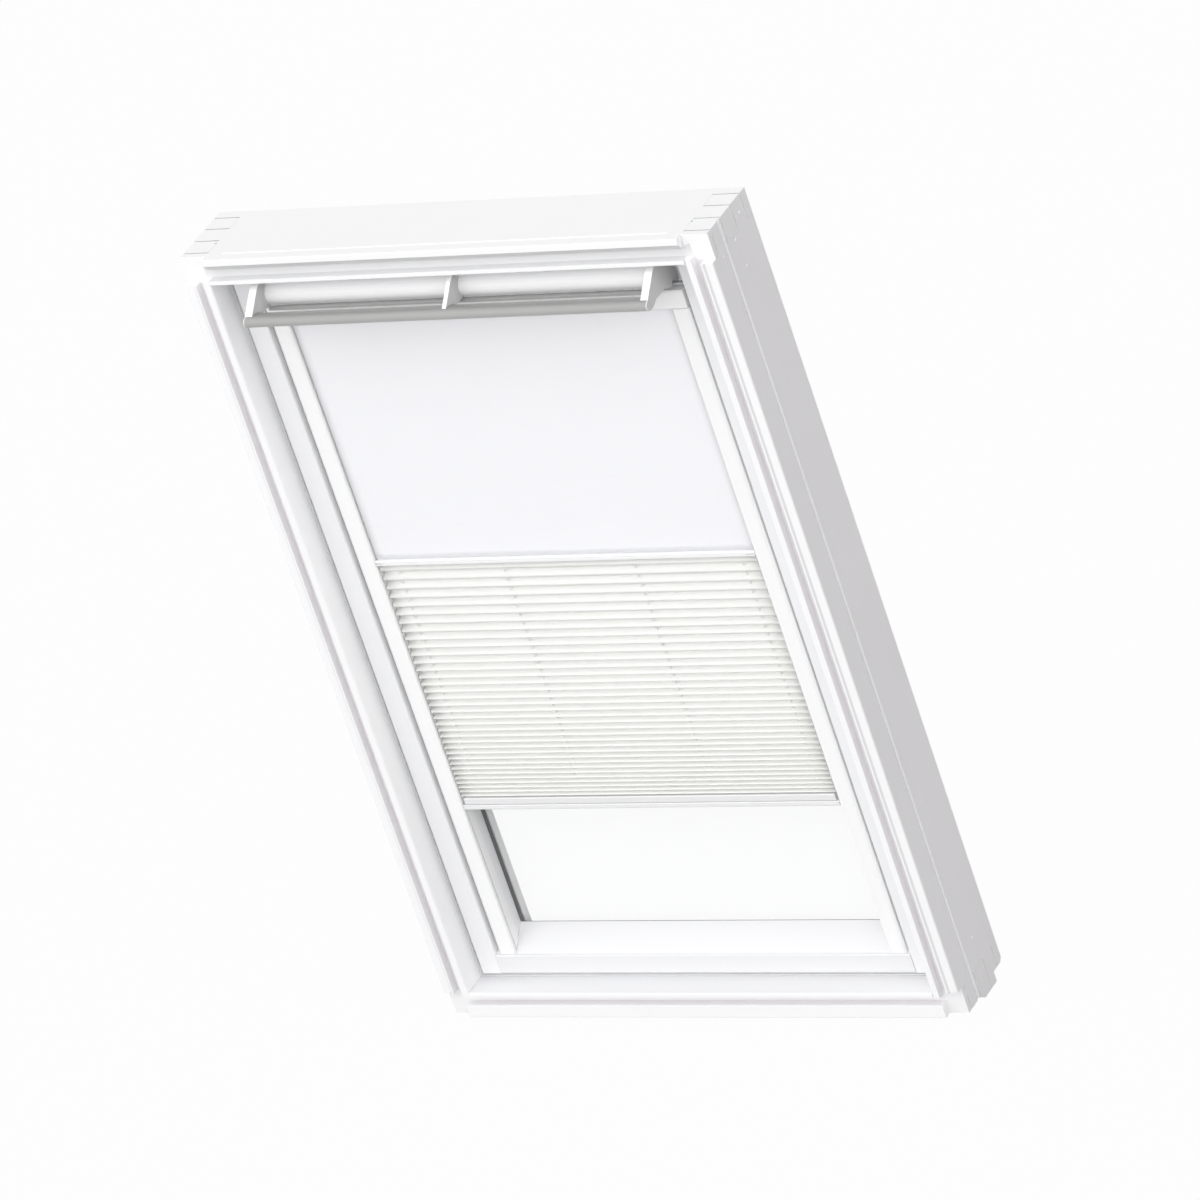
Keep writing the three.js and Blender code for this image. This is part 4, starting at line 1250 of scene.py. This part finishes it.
class Blind(Maker):
    """The soft parts of the blind and what goes with them."""

    OUTER_CORD = 258.0 * MM
    INNER_CORD = 98.0 * MM
    CORD_RADIUS = 1.3 * MM
    PLEAT_THICKNESS = 0.25 * MM

    def build(self) -> None:
        """Make the cloths."""
        self._blackout()
        self._wound()
        self._pleats()

    def _blackout(self) -> None:
        """Make the blackout cloth."""
        sheet = BlackoutSheet().build(self.palette.blackout)
        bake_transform(sheet)
        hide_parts("blackout_cloth")
        report(sheet)

    def _wound(self) -> None:
        """Make the cloth on the roller, which turns with it."""
        turns = WoundCloth()
        coil = turns.build(self.palette.blackout)
        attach(coil, "roller")
        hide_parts("cloth_coil")
        report(coil)

    def _pleats(self) -> None:
        """Make the pleated cloth and its cords between the two rails."""
        low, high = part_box("pleated_cloth")
        fold = PleatFold(high.x - low.x, high.z, high.z - low.z, (low.y + high.y) / 2)
        sheet = thickened(fold.cloth(self.palette.pleats), self.PLEAT_THICKNESS)
        cords = fold.cords(self.palette.cord, self.OUTER_CORD, self.INNER_CORD, self.CORD_RADIUS)
        for piece in (sheet, cords):
            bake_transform(piece)
            report(piece)
        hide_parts("pleated_cloth")


class Fasteners(Maker):
    """Screws in the outer covers and in the pivot plates."""

    EDGE = 60.0 * MM
    COVER_SCREWS = 5
    PLATE_SCREWS = 2
    PLATE_SHARE = 0.8
    SMALL_HEAD = 2.8 * MM
    FACING_OUT = (math.pi / 2, 0.0, 0.0)
    FACING_ACROSS = (0.0, math.pi / 2, 0.0)

    def build(self) -> None:
        """Make every row of screws."""
        for name, body in (("cover_jamb_left", "frame"), ("cover_jamb_right", "frame"),
                           ("sash_cover_left", "sash"), ("sash_cover_right", "sash")):
            self._cover_row(name, body)
        for side in ("left", "right"):
            self._plate_row(side)

    def _cover_row(self, cover: str, body: str) -> None:
        """Make the screws down one upright cover.

        Args:
            cover: The cover's node.
            body: The body that it rides on.
        """
        low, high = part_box(cover)
        x = (low.x + high.x) / 2
        face = high.y
        self._place(body, ScrewRow(f"{cover}_screws", (x, face, low.z + self.EDGE), (x, face, high.z - self.EDGE),
                                   self.FACING_OUT, self.COVER_SCREWS))

    def _plate_row(self, side: str) -> None:
        """Make the two screws of one pivot plate.

        Args:
            side: "left" or "right".
        """
        low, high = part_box(f"pivot_plate_{side}")
        face = high.x if side == "left" else low.x
        middle = (low.y + high.y) / 2
        inset = (high.y - low.y) / 2 * self.PLATE_SHARE
        start, end = (face, middle, low.z + inset), (face, middle, high.z - inset)
        self._place("frame", ScrewRow(f"pivot_plate_{side}_screws", start, end, self.FACING_ACROSS,
                                      self.PLATE_SCREWS, self.SMALL_HEAD))

    def _place(self, body: str, row: ScrewRow) -> None:
        """Make a row of screws and let it ride on a body.

        Args:
            body: The body.
            row: The row.
        """
        piece = row.build(self.palette.steel)
        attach(piece, body)
        report(piece)


@dataclass(frozen=True)
class Studio:
    """Camera, light, floor and background.

    Attributes:
        ambient: Strength of the light from all round.
        front: Strength of the broad light from the room side.
        above: Strength of the broad light from above.
        edge: Share of a half-turn over which a broad light fades out.
        floor_tone: How much light the floor throws back onto the object.
        floor_trace: Share of the object's shadow that shows on the floor.
    """

    SENSOR = 36.0
    LENS = 295.25
    CLIP = (0.5, 60.0)
    STAND = (6.50495, -9.2332, 6.4320)
    RIGHT = (0.85899517, 0.41981382, -0.29305913)
    DOWN = (-0.02066936, -0.54349712, -0.83915651)
    AHEAD = (-0.51156629, 0.72688874, -0.45818412)
    FLOOR_REACH = 12.0
    FLOOR_GAP = 0.5 * MM
    WHITE = (1.0, 1.0, 1.0)

    ambient: float = 0.01
    front: float = 1.43
    above: float = 0.26
    edge: float = 0.12
    floor_tone: float = 0.33
    floor_trace: float = 0.02

    def build(self) -> None:
        """Set the whole studio up."""
        scene = bpy.context.scene
        scene.view_settings.view_transform = "Standard"
        self._camera(scene)
        self._world(scene)
        self._floor(scene)

    def _camera(self, scene: bpy.types.Scene) -> None:
        """Place the camera where the photograph was taken from."""
        lens = bpy.data.cameras.new("camera")
        lens.sensor_width = self.SENSOR
        lens.lens = self.LENS
        lens.clip_start, lens.clip_end = self.CLIP
        camera = bpy.data.objects.new("camera", lens)
        turn = Matrix((Vector(self.RIGHT), -Vector(self.DOWN), -Vector(self.AHEAD))).transposed().to_4x4()
        camera.matrix_world = Matrix.Translation(self.STAND) @ turn
        scene.collection.objects.link(camera)
        scene.camera = camera

    def _seen(self, graph: Graph) -> Value:
        """Give 1 for rays that show the background, and 0 for rays that light the object."""
        path = graph.node("ShaderNodeLightPath")
        shown = graph.value(path, "Is Camera Ray") + graph.value(path, "Is Glossy Ray")
        shown = shown + graph.value(path, "Is Transmission Ray")
        return graph.math("MINIMUM", shown, 1.0)

    def _side(self, graph: Graph, along: Value, strength: float) -> Value:
        """Give the light of one half of the surround, as a large soft tent gives it.

        Args:
            graph: The world's graph.
            along: How far a direction points towards that half, from -1 to 1.
            strength: The light's strength.

        Returns:
            The light that comes from each direction.
        """
        fade = graph.node("ShaderNodeMapRange", {"interpolation_type": "SMOOTHSTEP"}, {
            "Value": along, "From Min": -self.edge, "From Max": self.edge,
        })
        return graph.value(fade) * strength

    def _world(self, scene: bpy.types.Scene) -> None:
        """Make a white surround, which lights the object softly from the room side and from above."""
        world = bpy.data.worlds.new("surround")
        world.use_nodes = True
        world.node_tree.nodes.clear()
        graph = Graph(world.node_tree)
        coordinates = graph.node("ShaderNodeTexCoord").outputs["Generated"]
        split = graph.node("ShaderNodeSeparateXYZ", None, {0: coordinates})
        front = self._side(graph, 0 - graph.value(split, 1), self.front)
        above = self._side(graph, graph.value(split, 2), self.above)
        light = front + above + self.ambient
        shown = self._seen(graph)
        strength = light + shown * (1 - light)
        sky = graph.node("ShaderNodeBackground", None, {"Color": self.WHITE, "Strength": strength})
        graph.node("ShaderNodeOutputWorld", None, {"Surface": sky.outputs[0]})
        scene.world = world

    def _floor(self, scene: bpy.types.Scene) -> None:
        """Lay a pale floor under the sill."""
        low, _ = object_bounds()
        drop = Matrix.Translation((0.0, 0.0, low.z - self.FLOOR_GAP))
        made = bmesh.new()
        bmesh.ops.create_grid(made, x_segments=1, y_segments=1, size=self.FLOOR_REACH, matrix=drop)
        material = bpy.data.materials.new("pale_floor")
        material.use_nodes = True
        material.node_tree.nodes.clear()
        graph = Graph(material.node_tree)
        matt = graph.node("ShaderNodeBsdfDiffuse", None, {"Color": (self.floor_tone,) * 3})
        glow = graph.node("ShaderNodeEmission", None, {"Color": self.WHITE, "Strength": 1.0})
        factor = self._seen(graph) * (1.0 - self.floor_trace)
        both = graph.node("ShaderNodeMixShader", None, {0: factor, 1: matt.outputs[0], 2: glow.outputs[0]})
        graph.node("ShaderNodeOutputMaterial", None, {"Surface": both.outputs[0]})
        mesh_from(made, "floor", material)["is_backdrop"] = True


def main() -> None:
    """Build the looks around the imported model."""
    logging.basicConfig(level=logging.INFO, format="%(name)s: %(message)s")
    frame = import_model()
    palette = Palette()
    CadDresser(frame, palette).dress()
    Patchwork(frame, palette).build()
    Blind(palette).build()
    Fasteners(palette).build()
    Studio().build()


if __name__ == "__main__":
    main()
